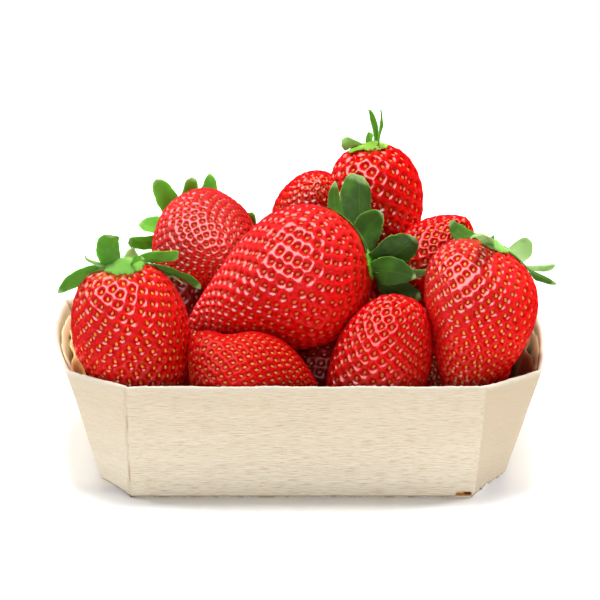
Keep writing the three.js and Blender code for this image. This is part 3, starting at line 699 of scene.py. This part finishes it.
def keep_in_basket(points, inset=VENEER + CLEAR, end_inset=4 * VENEER + CLEAR):
    """Moves points that lie below or near the rim straight in from each wall to a distance from
    it, as fruit pressed on it. The ends keep room for their inner layers."""
    held = points.copy()
    for start, stop in sides():
        here, there = (c.foot + (c.rim - c.foot) * np.clip(
            (points[..., 2:] - c.foot[2]) / (RIM - c.foot[2]), 0, 1) for c in (start, stop))
        along_x, along_y = (there - here)[..., 0], (there - here)[..., 1]
        inward = np.stack([-along_y, along_x], axis=-1) / np.hypot(along_x, along_y)[..., None]
        room = ((held - here)[..., :2] * inward).sum(-1, keepdims=True)
        held[..., :2] += inward * np.maximum((end_inset if start.swell[1] else inset) - room, 0)
    held[..., 2] = np.maximum(held[..., 2], VENEER + CLEAR)
    above = points[..., 2] > RIM + OVER_RIM
    fade = smooth(RIM - OVER_RIM, RIM + OVER_RIM, points[..., 2])[..., None]
    return np.where(above[..., None], points, held + (points - held) * fade)


def seed_places(berry, seed, surface, normals, grid_s):
    """Where the seeds sit: each is a golden turn round from the last, and steps along the berry by
    an equal share of seeds, which stand closer at the tip. Each takes the nearest grid point of
    the surface for its place, its way out and its way to the stalk."""
    s = np.linspace(0, 1, MESH["seed_samples"])
    r = radius(berry, s)
    slant = np.hypot(np.gradient(r), np.gradient(berry["long"] * s))
    share = np.cumsum(2 * np.pi * r * berry["flat"] ** .5 * slant / (CELL * seed_gap(berry, s) ** 2))
    draw = np.random.default_rng(seed)
    count = int(share[-1])
    stray = draw.uniform(-STRAY["along"], STRAY["along"], count)
    where = (np.arange(count) + .5 + stray) * share[-1] / count
    along = np.interp(where, share, s)
    turn = np.arange(count) * GOLDEN + draw.normal(0, STRAY["round"], count)
    chance = draw.uniform(0, 1, count)
    keep = crown(berry, along) < SEED["last"]
    along, turn, chance = along[keep], turn[keep], chance[keep]
    rows, columns = grid_s.shape
    row = np.clip(np.searchsorted(grid_s[:, 0], along), 1, rows - 2)
    column = np.round(turn / (2 * np.pi) * columns).astype(int) % columns
    onward = unit(surface[row + 1, column] - surface[row - 1, column])
    return {"at": surface[row, column], "out": normals[row, column], "onward": onward,
            "crown": crown(berry, along), "chance": chance}


def nearest(points, centres):
    """Distance to the nearest centre, for a block of points at a time."""
    near = np.empty(len(points))
    squares = (centres ** 2).sum(1)
    for start in range(0, len(points), 8192):
        block = points[start:start + 8192]
        gaps = (block ** 2).sum(1)[:, None] - 2 * block @ centres.T + squares
        near[start:start + 8192] = gaps.min(axis=1)
    return np.sqrt(np.maximum(near, 0))


def grid_normals(points, outward_from):
    """Unit normals of a grid that is closed round each row, from its differences both ways."""
    down = np.gradient(points, axis=0)
    wrapped = np.concatenate([points[:, -1:], points, points[:, :1]], axis=1)
    normals = unit(np.cross(down, (wrapped[:, 2:] - wrapped[:, :-2]) / 2))
    return normals * np.sign(((points - outward_from) * normals).sum(-1).mean())


def berry_shape(name, number, look):
    """A berry's flesh and its seeds: the plain form with its lobes, sunk into a pit round every
    seed, as PIT says, with a ridge between pits. Rings of points stand evenly along its outline."""
    berry = BERRIES[name]
    step = berry["step"] * 1
    columns = int(math.pi * berry["wide"] * MESH["girth"] / step)
    rows = int((berry["long"] + berry["wide"] * MESH["outline"]) / step)
    fine = (1 - np.cos(np.linspace(0, np.pi, MESH["samples"]))) / 2
    r = radius(berry, fine)
    length = np.concatenate([[0], np.cumsum(np.hypot(np.diff(r), np.diff(fine) * berry["long"]))])
    s = np.interp(np.linspace(0, length[-1], rows + 2)[1:-1], length, fine)
    angle = round_steps(columns)
    grid_s, grid_angle = np.meshgrid(s, angle, indexing="ij")
    plain = berry_points(berry, grid_s, grid_angle, number)
    lumpy = lobed(berry, plain, grid_normals(plain, berry["at"]), number)
    normals = grid_normals(lumpy, berry["at"])

    seeds = seed_places(berry, number, lumpy, normals, grid_s)
    away = nearest(lumpy.reshape(-1, 3), seeds["at"]).reshape(grid_s.shape) / seed_gap(berry, grid_s)
    pit = 1 - smooth(PIT["floor"], PIT["edge"], away)
    ridge = smooth(PIT["edge"] - PIT["lip"], PIT["top"], away)
    ease = smooth(*PIT_ENDS, crown(berry, grid_s))
    depth = PIT["depth"] * look.pit_depth * berry["gap"]
    height = ease * (-depth * pit + PIT["rise"] * berry["gap"] * ridge)
    flesh = keep_in_basket(lumpy + normals * height[..., None])
    close = axes(berry["stalk"])[0] * MESH["close"]
    # The sides that face the light take a painted pale sheen, outside the pits.
    lit = smooth(*SHEEN_FADE, normals @ unit(SHEEN_WAY))
    shape = tube(flesh, [flesh[0].mean(0) - close, flesh[-1].mean(0) + close]).with_values(
        pit=grid_values(pit * ease), crown=grid_values(crown(berry, grid_s), (0, 1)),
        frost=grid_values(berry["frost"] * (1 - pit * ease) * lit),
        blush=berry["blush"], shade=berry["shade"], dull=berry["dull"])
    return shape, seed_shape(seeds, depth, berry, look.seed_size)


def seed_shape(seeds, depth, berry, scale):
    """All the seeds of a berry: one small drop, pointed to the stalk, laid in every pit by moving
    and turning its points as whole arrays. Where a wall presses the berry in, there are none."""
    size = scale * straight(SEED["vary"], seeds["chance"]) * straight(SEED["by_gap"], berry["gap"])
    out, onward = seeds["out"], seeds["onward"]
    lean = (seeds["chance"] - .5) * SEED["lean"]
    forward = onward * np.cos(lean)[:, None] + np.cross(out, onward) * np.sin(lean)[:, None]
    aside = unit(np.cross(out, forward))
    at = seeds["at"] - out * (depth * smooth(*PIT_ENDS, seeds["crown"]) - SEED["out"])[:, None]
    v = np.array(SEED["rings"])
    u = round_steps(SEED["sides"])
    wide = SEED["wide"] * np.sin(np.pi * v ** SEED["drop"]) ** SEED["drop"]
    drop = np.stack([np.outer(wide, np.cos(u)), np.outer(wide * SEED["flat"], np.sin(u)),
                     np.repeat((v - .5)[:, None] * SEED["long"], len(u), axis=1)], axis=-1)
    one = tube(drop, [(0, 0, end) for end in SEED["ends"]])
    count, each = len(at), len(one.points)
    local = one.points[None] * size[:, None, None]
    points = (at[:, None] + local[..., :1] * aside[:, None] + local[..., 1:2] * out[:, None]
              + local[..., 2:] * forward[:, None]).reshape(-1, 3)
    shift = (np.arange(count) * each)[:, None, None]
    faces = turned_out(points, [(block[None] + shift).reshape(-1, block.shape[1])
                                for block in one.faces])
    keep = np.repeat(np.abs(keep_in_basket(at) - at).sum(-1) < SEED["pressed"], each)
    new_index = np.cumsum(keep) - 1
    faces = [new_index[block[keep[block[:, 0]]]] for block in faces]
    return Shape(points[keep], faces).with_values(
        draw=np.repeat(seeds["chance"], each)[keep], brown=berry["brown"])


def core_shape():
    """The mound under the berries: level ellipses that shrink upwards, smoothed between layers."""
    layers = np.array(CORE["layers"], float)
    z = np.linspace(layers[0, 0], layers[-1, 0], CORE["rows"])
    half_x, half_y = (np.interp(z, layers[:, 0], layers[:, k])[:, None] for k in (1, 2))
    angle = round_steps(CORE["sides"])
    lumps = 1 + CORE["lump"] * np.sin(5 * angle[None] + z[:, None] * .3)
    rings = np.stack([half_x * np.cos(angle) * lumps,
                      CORE["middle_y"] + half_y * np.sin(angle) * lumps,
                      np.repeat(z[:, None], len(angle), 1)], axis=-1)
    rings = keep_in_basket(rings, 2 * VENEER, 4 * VENEER)
    return tube(rings, [(0, CORE["middle_y"], z[0]), (0, CORE["middle_y"], z[-1] + 1)])


# ------------------------------------------------------------------ leaves


def clear_of_berries(points, distance):
    """Moves each point that is in a berry grown by the distance straight out from the berry's
    middle, by halving the span between in and out, and then in from the walls."""
    points = points.copy()
    for berry in BERRIES.values():
        caught = inside(points, berry, distance)
        if not caught.any():
            continue
        ray = points[caught] - berry["at"]
        near, far = np.ones(len(ray)), np.full(len(ray), FAR_OUT)
        for _ in range(HALVINGS):
            half = (near + far) / 2
            still = inside(berry["at"] + ray * half[:, None], berry, distance)
            near, far = np.where(still, half, near), np.where(still, far, half)
        points[caught] = berry["at"] + ray * far[:, None]
    return keep_in_basket(points)


def leaf_shape(cap, row, number, thick):
    """A leaf: its spine is an arc that leaves the cap, lifts and curls; across it the blade folds
    up either side of the spine and ripples. Top and underside make one closed section at every
    step along the spine."""
    azimuth, long, wide, lift, curl, roll, blunt, tone, hook = row
    middle, way, *_ = cap
    stalk, side, cross = axes(way)
    angle = math.radians(azimuth)
    outward = side * math.cos(angle) + cross * math.sin(angle)
    flank = np.cross(stalk, outward)
    draw = np.random.default_rng(number)
    rows, columns = LEAF["rows"], LEAF["columns"]
    s = np.linspace(0, 1, rows)
    rise = np.radians(lift + curl * s + hook * smooth(LEAF["hook"], 1, s))
    along = np.cos(rise)[:, None] * outward + np.sin(rise)[:, None] * stalk
    steps = (along[1:] + along[:-1]) / 2 * long / (rows - 1)
    spine = np.array(middle, float) + outward * LEAF["ring"]
    spine = spine + np.concatenate([np.zeros((1, 3)), np.cumsum(steps, axis=0)])
    up = np.cross(flank, along)
    turn = np.radians(roll) * (1 - (1 - s) ** 3)
    across = flank * np.cos(turn)[:, None] + up * np.sin(turn)[:, None]
    face = np.cross(across, along)

    taper, full = (straight(pair, blunt) for pair in LEAF_POWERS)
    swell = np.sin(np.pi * (LEAF["root"] + (1 - LEAF["root"]) * s ** taper))
    (large, slow), (small, fast) = LEAF_RAGGED
    ragged = large * np.sin(s * long * slow + draw.uniform(0, 6)) + small * np.sin(s * long * fast)
    half = wide / 2 * np.maximum(swell, 0) ** full * (1 + smooth(.3, .6, s) * ragged)
    half = np.maximum(half, LEAF["least"])
    edge = np.sin(np.linspace(-1, 1, columns) * np.pi / 2)
    place = edge[None] * half[:, None]
    relief = (np.abs(place) * LEAF["fold"] + LEAF["wave"] * np.sin(7 * s + azimuth)[:, None] * edge
              + LEAF["rim"] * np.sin(s * long * .8 + draw.uniform(0, 6))[:, None] * edge ** 2
              + half[:, None] * LEAF["channel"] * np.cos(edge * np.pi)[None] * draw.uniform(-1, 1))
    blade = spine[:, None] + across[:, None] * place[..., None] + face[:, None] * relief[..., None]
    blade = clear_of_berries(blade, LEAF["clear"])
    thin = thick / 2 * np.sqrt(np.clip(1.02 - edge ** 2, .02, 1))[None] * np.ones((rows, 1))
    rib = LEAF["rib"] * np.exp(-(place / .35) ** 2) * (1 - s[:, None])
    upper = blade + face[:, None] * (thin - rib)[..., None]
    lower = blade - face[:, None] * (thin + rib)[..., None]

    ring_edge = np.concatenate([edge, edge[-2:0:-1]])
    ring_top = np.concatenate([np.ones(columns), np.zeros(columns - 2)])
    grid = np.ones((rows, len(ring_edge)))
    return capped(np.concatenate([upper, lower[:, -2:0:-1]], axis=1)).with_values(
        across=grid_values(grid * ring_edge * half[:, None]),
        along=grid_values(grid * s[:, None] * long + 40 * number, (0, long)),
        top=grid_values(grid * ring_top, (1, 1)), tone=tone,
        rim=grid_values(grid * np.abs(ring_edge), (1, 1)),
        length=grid_values(grid * s[:, None], (0, 1)), spots=0)


def collar_shape(cap):
    """The collar that joins the leaves of a cap: a thin disc that lies on the berry's shoulder,
    with toothed edges, rising to a low button round the stalk's stump."""
    middle, way, reach, tone, spots = cap
    stalk, side, cross = axes(way)
    angle = round_steps(COLLAR["sides"])
    ring = np.cos(angle)[:, None] * side + np.sin(angle)[:, None] * cross
    teeth = 1 + COLLAR["teeth"] * (np.sin(9 * angle) + np.sin(23 * angle + 1))
    share, thick = np.array(COLLAR["share"]), np.array(COLLAR["thick"])
    out = reach * share[:, None] * (1 + (teeth - 1) * share[:, None] ** 4)
    drop = -COLLAR["drop"] * reach * share ** 2
    base = np.array(middle, float) + ring * out[..., None] + stalk * drop[:, None, None]
    seat = clear_of_berries(base, COLLAR["seat"])
    top = seat + stalk * thick[:, None, None]
    ends = [seat[0].mean(0), top[0].mean(0) + stalk * COLLAR["stump"]]
    length = np.repeat(np.concatenate([share, share[::-1]]), len(angle)) * COLLAR["length"]
    return tube(np.concatenate([seat, top[::-1]]), ends).with_values(
        across=0, along=0, top=1, tone=tone, rim=0, length=grid_values(length), spots=spots)


def rear_leaves(index):
    """Even leaves round a stalk, each a little unlike the next by a sine of its number."""
    r = REAR_LEAVES
    uneven = [math.sin(5 * i + 3 * index) * r["vary"] for i in range(r["count"])]
    return [(360 * (i + u) / r["count"], r["long"] * (1 + u), r["wide"], r["lift"] * (1 - u),
             r["curl"], 0, r["blunt"], r["tone"] + u, 0) for i, u in enumerate(uneven)]


def cap_shape(name, number, thick):
    """A whole cap: its collar and every leaf."""
    cap = CAPS[name]
    rows = LEAVES.get(name) or rear_leaves(number)
    leaves = [leaf_shape(cap, row, 100 * number + k, thick) for k, row in enumerate(rows)]
    return merged([collar_shape(cap), *leaves])


# ------------------------------------------------------------------ materials


def material(name):
    """A new material, ready for its nodes."""
    return Shader(bpy.data.materials.new(name))


def flesh_material(look):
    """Ripe red flesh, with painted shade in the pits and in the depths of the heap, a paler ring
    under the cap and a painted pale sheen on the sides that face the light. The clear skin over
    it fades into the pits."""
    m = material("strawberry_flesh")
    place, pit = m.position(), m.attribute("pit")
    ring = m.step(m.attribute("crown") + (m.noise(place, 300, 2) - .5) * .3, .5, .8)
    red = m.layers(
        look.deep_red,
        (look.bright_red, m.step(m.noise(place, 55, 2), .35, .7)),
        # Painted shade in the pits round the seeds.
        (look.pit_shade_red, m.step(pit, .15, .9) * .6),
        (look.shoulder, ring * m.attribute("blush")),
        # Painted pale sheen on the sides that face the light.
        (look.frost, m.attribute("frost")),
        # Painted shade on the berries deep in the heap.
        (look.heap_shade, m.attribute("shade")))
    m.set(Base_Color=red, Roughness=.42, Normal=m.bump(m.noise(place, 1400, 2), .00003, .3))
    skin = look.gloss * (1 - m.attribute("dull")) * (1 - m.step(pit, .3, .75))
    m.set(IOR=1.45, Specular_IOR_Level=.09, Coat_Weight=skin, Coat_Roughness=.08, Coat_IOR=1.8)
    m.set(Subsurface_Weight=look.glow, Subsurface_Radius=(1, .15, .08), Subsurface_Scale=.001)
    return m.holder


def seed_material(look):
    """Golden seeds, some browner, and red ones on some berries."""
    m = material("strawberry_seeds")
    gold = m.layers(look.seed_gold,
                    (look.seed_brown, m.step(m.attribute("draw"), .55, 1.0)),
                    # Redder, darker seeds; on the berries deep in the heap this is also painted shade.
                    (look.seed_red, m.attribute("brown")))
    m.set(Base_Color=gold, Roughness=.42, Specular_IOR_Level=.35)
    m.set(Normal=m.bump(m.noise(m.position(), 3000, 2), .00005, .5))
    return m.holder


def leaf_material(look):
    """Leaves: dark to pale by tone, blotched, with a midrib, faint veins, short pale hairs and a
    pale tip. A spotted collar is yellow with brown flecks."""
    m = material("strawberry_leaf")
    place = m.position()
    tone, length, spots = m.attribute("tone"), m.attribute("length"), m.attribute("spots")
    blotch = m.noise(place, 260, 4, .6)
    side = m.math("ABSOLUTE", m.attribute("across"))
    wave = m.math("SINE", (m.attribute("along") - side * 2.0) * 4.2)
    vein = m.step(wave, .8, 1.0) * m.step(side, .05, .25)
    veins = ((1 - m.step(side, .03, .14)) * .3 + vein * .1) * (1 - length * .4)
    hairs = m.step(m.noise(place, 2600, 2, .7), .64, .72) * .16 + (1 - m.attribute("top")) * .03
    tip = m.step(length + (blotch - .5) * .12, .9, .96) * .7
    fleck = m.node("TexVoronoi", {"feature": "F1"}, {"Vector": place, "Scale": 620})
    green = m.layers(
        look.leaf_dark,
        (look.leaf_mid, m.step(tone, 0.0, .35)),
        (look.leaf_bright, m.step(tone, .35, .7)),
        (look.leaf_pale, m.step(tone, .7, 1.0)),
        (look.leaf_dark, m.step(blotch, .48, .75) * .4),
        (look.leaf_bright, m.step(m.noise(place, 120, 2), .5, .8) * .3),
        (look.leaf_pale, m.step(m.noise(place, 95, 4, .7), .5, .72) * .16),
        (look.leaf_bright, veins),
        (look.leaf_pale, hairs),
        (look.leaf_pale, tip + m.step(m.attribute("rim"), .93, 1.0) * .1),
        (look.leaf_yellow, spots * .7),
        (look.leaf_brown, spots * (1 - m.step(fleck, .18, .3))))
    m.set(Base_Color=green, Roughness=.5 + .15 * blotch)
    m.set(Normal=m.bump(m.noise(place, 900, 3) - vein * .25, .00012, .5))
    m.set(IOR=1.38, Specular_IOR_Level=.06, Subsurface_Weight=.5, Subsurface_Radius=(.5, 1, .15),
          Subsurface_Scale=.0012)
    return m.holder


def veneer_material(look):
    """Peeled veneer: fine streaks along the sheet, short darker pores, pale raw edges and brown
    score lines. The pattern follows the sheet by its along and up values. The cut corners and the
    ends are plainer and speckled; the right ones are darker by painted shade, and the ends' inside
    faces take painted warm bounce light and shade. Painted shade also darkens the sheet towards the
    rim, along its foot and in the chip's gouge."""
    m = material("wood_veneer")
    along, up, turned = m.attribute("along"), m.attribute("up"), m.attribute("turned")
    edge, inner, chip = m.attribute("edge"), m.attribute("inner"), m.attribute("chip")
    rise = up + m.grain(along * .05, up * .25, 2.0, 2) * .8
    grain = m.grain(along * .07, rise * 2.2, turned * 3, 5, .62)
    bands = m.grain(along * .012, rise * .22, 4.0 + turned, 3)
    fibres = m.grain(along * .22, rise * 4.2, 9.0 + turned * 2, 3, .6)
    lines = m.grain(along * .11, rise * 1.5, 17.0 + turned, 2)
    speck = m.grain(along * 1.4, up * 2.9 - turned * along * .3, 31.0, 3, .7)
    side = m.step(m.math("ABSOLUTE", turned), .3, .9)
    plain = 1 - .7 * side
    right = m.step(turned, .3, .9)
    wood = m.layers(
        look.veneer,
        (look.veneer_dark, m.step(grain, .45, .78) * .4),
        (look.veneer_light, m.step(bands, .4, .75) * .35 + m.step(fibres, .48, .34) * .6),
        (look.veneer_dark, m.step(fibres, .53, .62) * .75 * plain),
        (look.veneer_line, m.step(lines, .66, .76) * m.step(fibres, .45, .6) * .7 * plain),
        (look.veneer_dark, m.step(speck, .56, .66) * (.12 + .5 * side)),
        # Painted shade on the right cut corner and the right end, away from the light.
        (look.veneer_right_shade, right * .6),
        # Painted shade: darker towards the rim, where the light on the wall is stronger, to even it
        # out.
        (look.veneer_dark, m.step(up, 2, 36) * (1 - m.step(up, 40, 42)) * .36),
        # Painted contact shadow along the sheet's foot.
        (look.foot_painted_shadow, 1 - m.step(up, .3, 1.1)),
        (look.veneer_light, edge * .7),
        # Painted warm bounce light and shade on the ends' inside faces.
        (look.veneer_inside_bounce_shade, inner * (.6 + .4 * m.step(grain, .3, .6)) * (1 - edge)),
        # Painted shade on the inside faces of the right end.
        (look.veneer_shade, m.step(inner * right, 0, .85) * (1 - edge * .7)),
        (look.score, m.step(m.attribute("score"), .3, .9) * .6),
        (look.notch_brown, m.step(chip, .3, .9)),
        # Painted shade deep in the chip's gouge.
        (look.shaded_gouge, m.step(chip, 1.1, 1.7)))
    m.set(Base_Color=wood, Roughness=.62 + .12 * grain)
    m.set(Normal=m.bump(grain + fibres, .0002, .6), IOR=1.4, Specular_IOR_Level=.2)
    return m.holder


def core_material(look):
    """Painted shade for the heap's inside: dark red, darker in patches."""
    m = material("heap_shade")
    shade = .4 + .5 * m.noise(m.position(), 90, 3)
    m.set(Base_Color=m.layers(look.pit_shade_red, (look.heap_shade, shade)), Roughness=.6)
    return m.holder


# ------------------------------------------------------------------ settings


def colour(name, text, *value):
    """A colour that a user can change, with its default."""
    return bpy.props.FloatVectorProperty(
        name=name, description=text, subtype="COLOR", size=3, min=0, max=1, default=value)


def amount(name, text, value, subtype="FACTOR", **more):
    """A number from 0 up that a user can change, with its default."""
    return bpy.props.FloatProperty(
        name=name, description=text, default=value, min=0, subtype=subtype, **more)


class PunnetFruitLook(bpy.types.PropertyGroup):
    """Colours and finish of the berries."""

    bright_red: colour("Bright red", "Flesh where it is brightest", .66, .0028, .0026)
    deep_red: colour("Deep red", "Flesh where it is darkest", .54, .001, .001)
    # Painted shade in the pits round the seeds.
    pit_shade_red: colour("Pit red", "Flesh round the seeds", .40, .0007, .0007)
    shoulder: colour("Shoulder", "Flesh under the cap", .68, .19, .05)
    # Painted pale sheen on the ridges of the sides that face the light.
    frost: colour("Bloom", "Pale ridges of a dull berry", .62, .14, .15)
    seed_gold: colour("Seed gold", "Most of the seeds", .76, .33, .035)
    seed_brown: colour("Seed brown", "The browner seeds", .62, .20, .025)
    seed_red: colour("Seed red", "Seeds that lie deep and red", .42, .07, .02)
    # Painted shade for the depths of the heap.
    heap_shade: colour("Heap shade", "Depths of the heap", .03, .004, .004)
    gloss: amount("Gloss", "Weight of the clear skin", 1.0, max=1)
    glow: amount("Glow", "How much light goes through the flesh", .25, max=1)
    seed_size: amount("Seed size", "Size of the seeds, 1 as they are", 1.0)
    pit_depth: amount("Pit depth", "Depth of the pits, 1 as they are", 1.0)


class PunnetLeafLook(bpy.types.PropertyGroup):
    """Colours of the leaves, and how thick they are."""

    leaf_dark: colour("Dark green", "The darkest leaves", .024, .056, .010)
    leaf_mid: colour("Mid green", "Most of the leaves", .052, .135, .013)
    leaf_bright: colour("Bright green", "Young leaves", .115, .34, .028)
    leaf_pale: colour("Pale green", "Undersides and tips", .27, .39, .16)
    leaf_yellow: colour("Yellow green", "The disc of a spotted cap", .27, .42, .06)
    leaf_brown: colour("Brown", "Spots on a cap", .09, .04, .012)
    thickness: amount("Thickness", "Thickness of a leaf", .0005, "DISTANCE")


class PunnetBasketLook(bpy.types.PropertyGroup):
    """Colours of the basket, and how thick its inner layers are."""

    veneer: colour("Veneer", "The sheet's colour", .60, .53, .415)
    veneer_light: colour("Light veneer", "Pale bands and raw edges", .67, .62, .52)
    veneer_dark: colour("Dark grain", "Streaks and pores", .40, .31, .20)
    veneer_line: colour("Fibre brown", "The darkest fibres", .30, .185, .085)
    # Painted shade on the right cut corner and the right end, away from the light.
    veneer_right_shade: colour("Tan veneer", "The darker end", .415, .325, .225)
    # Painted warm bounce light and shade on the ends' inside faces.
    veneer_inside_bounce_shade: colour("Inner brown", "Inside faces at the ends", .72, .46, .13)
    # Painted shade on the inside faces of the right end.
    veneer_shade: colour("Inner shade", "Inside faces at the darker end", .10, .03, .012)
    # Painted contact shadow along the sheet's foot.
    foot_painted_shadow: colour("Foot brown", "The sheet's worn foot", .13, .085, .04)
    notch_brown: colour("Chip brown", "Wood behind the chipped foot", .30, .11, .022)
    # Painted shade deep in the chip's gouge.
    shaded_gouge: colour("Gouge", "The deepest part of the chip", .03, .014, .006)
    score: colour("Score line", "Where the sheet is scored and folded", .34, .20, .10)
    thickness: amount("Thickness", "Thickness of the layers in the ends", .0008, "DISTANCE")


class PunnetStageLook(bpy.types.PropertyGroup):
    """Camera and light."""

    elevation: amount("Elevation", "How far the camera looks down", math.radians(19), "ANGLE")
    distance: amount("Distance", "From the camera to its aim", 1.3, "DISTANCE")
    lens: amount("Lens", "Focal length", 246.9, "DISTANCE_CAMERA")
    aim: bpy.props.FloatVectorProperty(name="Aim", description="Where the camera looks", size=3,
                                       default=(-.00103, 0, .0505), subtype="XYZ")
    floor_reach: amount("Floor reach", "Radius of the floor", .45, "DISTANCE")
    key: amount("Key", "Soft box at the upper left, as light", .2, "NONE", unit="POWER")
    shine: amount("Shine", "The same soft box, as it mirrors", 25.0, "NONE", unit="POWER")
    top: amount("Top", "Soft box above, a little behind", 18.0, "NONE", unit="POWER")
    front: amount("Front", "Long low box in front", 11.5, "NONE", unit="POWER")
    side: amount("Sides", "A low box on either side", 6.0, "NONE", unit="POWER")


# ------------------------------------------------------------------ operators


class PUNNET_OT_basket(bpy.types.Operator):
    """Build the veneer basket"""

    bl_idname = "punnet.basket"
    bl_label = "Basket"

    def execute(self, context):
        look = context.scene.punnet_basket
        wood = veneer_material(look)
        shell = piece("basket_shell", shell_shape(), wood)
        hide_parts("basket")
        for name, shape in end_layers(look.thickness / MM).items():
            piece(name, shape, wood)
        piece("basket_floor", floor_shape(), wood)
        return {"FINISHED"}


class PUNNET_OT_berries(bpy.types.Operator):
    """Build every berry with its seeds, and the shade inside the heap"""

    bl_idname = "punnet.berries"
    bl_label = "Berries"

    def execute(self, context):
        look = context.scene.punnet_fruit
        flesh, seeds = flesh_material(look), seed_material(look)
        groups = {}
        for number, name in enumerate(BERRIES):
            body, grains = berry_shape(name, number, look)
            berry = piece(f"berry_{name}", body, flesh)
            if number == 0:
                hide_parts("strawberries")
            groups.setdefault(name.split("_")[0], []).append(grains)
        for group, grains in groups.items():
            piece(f"seeds_{group}", merged(grains), seeds)
        # A dark mound whose colour is painted shade inside the heap.
        piece("heap_core", core_shape(), core_material(look))
        return {"FINISHED"}


class PUNNET_OT_leaves(bpy.types.Operator):
    """Build the leafy caps"""

    bl_idname = "punnet.leaves"
    bl_label = "Leaves"

    def execute(self, context):
        look = context.scene.punnet_leaf
        green = leaf_material(look)
        for number, name in enumerate(CAPS):
            cap = piece(f"cap_{name}", cap_shape(name, number, look.thickness / MM), green)
            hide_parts(f"leaves_{name}")
        return {"FINISHED"}


class PUNNET_OT_stage(bpy.types.Operator):
    """Set the floor, the lights and the camera"""

    bl_idname = "punnet.stage"
    bl_label = "Stage"

    def execute(self, context):
        look = context.scene.punnet_stage
        self.floor(context, look.floor_reach)
        for name, place, wide, high, power, share in LAMPS:
            lamp = bpy.data.lights.new(name, "AREA")
            lamp.shape = "RECTANGLE"
            lamp.size, lamp.size_y, lamp.energy = wide, high, getattr(look, power) * share
            thing = self.put(context, name, lamp, Vector(place), Vector(look.aim))
            thing.visible_diffuse = power != "shine"
            thing.visible_glossy = power == "shine"
        self.world(context)
        lens = bpy.data.cameras.new("camera")
        lens.lens, lens.sensor_width, lens.clip_end = look.lens, SENSOR, 20
        aim = Vector(look.aim)
        away = Vector((0, -math.cos(look.elevation), math.sin(look.elevation)))
        context.scene.camera = self.put(context, "camera", lens, aim + away * look.distance, aim)
        context.scene.view_settings.view_transform = "Standard"
        return {"FINISHED"}

    def put(self, context, name, data, place, aim):
        """An object at a place that looks at its aim."""
        thing = bpy.data.objects.new(name, data)
        turn = (aim - place).to_track_quat("-Z", "Y").to_matrix().to_4x4()
        thing.matrix_world = Matrix.Translation(place) @ turn
        context.scene.collection.objects.link(thing)
        return thing

    def floor(self, context, reach):
        """A white disc, which what shines doesn't mirror."""
        mesh = bpy.data.meshes.new("studio_floor")
        angle = round_steps(FLOOR["sides"])
        rim = reach * np.column_stack([np.cos(angle), np.sin(angle), 0 * angle])
        mesh.from_pydata(rim.tolist(), [], [tuple(range(len(angle)))])
        floor = bpy.data.objects.new("studio_floor", mesh)
        context.scene.collection.objects.link(floor)
        pale = material("studio_white")
        pale.set(Base_Color=(FLOOR["grey"],) * 3, Roughness=FLOOR["rough"])
        mesh.materials.append(pale.holder)
        floor.visible_glossy = False

    def world(self, context):
        """Even white to the camera. As light it comes from behind, and what shines mirrors little
        of it."""
        world = bpy.data.worlds.new("studio")
        context.scene.world = world
        w = Shader(world, "Background")
        path = w.node("LightPath", output="Is Camera Ray")
        mirror = w.node("LightPath", output="Is Glossy Ray")
        back = w.node("SeparateXYZ", None, {0: w.node("TexCoord")}, "Y")
        seen = SKY["light"] * w.step(back, *SKY["behind"]) * (1 - mirror) + SKY["mirrored"] * mirror
        w.set(Color=(1.0, 1.0, 1.0), Strength=seen * (1 - path) + path)


class PUNNET_PT_panel(bpy.types.Panel):
    """Lists the settings and the steps"""

    bl_label = "Strawberry Punnet"
    bl_idname = "PUNNET_PT_panel"
    bl_space_type = "VIEW_3D"
    bl_region_type = "UI"
    bl_category = "Punnet"

    def draw(self, context):
        for operator in STEPS:
            self.layout.operator(operator.bl_idname)
        for name, group in GROUPS.items():
            box = self.layout.box()
            for key in group.__annotations__:
                box.prop(getattr(context.scene, name), key)


STEPS = (PUNNET_OT_basket, PUNNET_OT_berries, PUNNET_OT_leaves, PUNNET_OT_stage)
GROUPS = {"punnet_fruit": PunnetFruitLook, "punnet_leaf": PunnetLeafLook,
          "punnet_basket": PunnetBasketLook, "punnet_stage": PunnetStageLook}


def register():
    for name, group in GROUPS.items():
        bpy.utils.register_class(group)
        setattr(bpy.types.Scene, name, bpy.props.PointerProperty(type=group))
    for item in (*STEPS, PUNNET_PT_panel):
        bpy.utils.register_class(item)


def unregister():
    for item in (PUNNET_PT_panel, *reversed(STEPS)):
        bpy.utils.unregister_class(item)
    for name, group in reversed(GROUPS.items()):
        delattr(bpy.types.Scene, name)
        bpy.utils.unregister_class(group)


def main():
    register()
    bpy.ops.punnet.basket()
    bpy.ops.punnet.berries()
    bpy.ops.punnet.leaves()
    bpy.ops.punnet.stage()


if __name__ == "__main__":
    main()
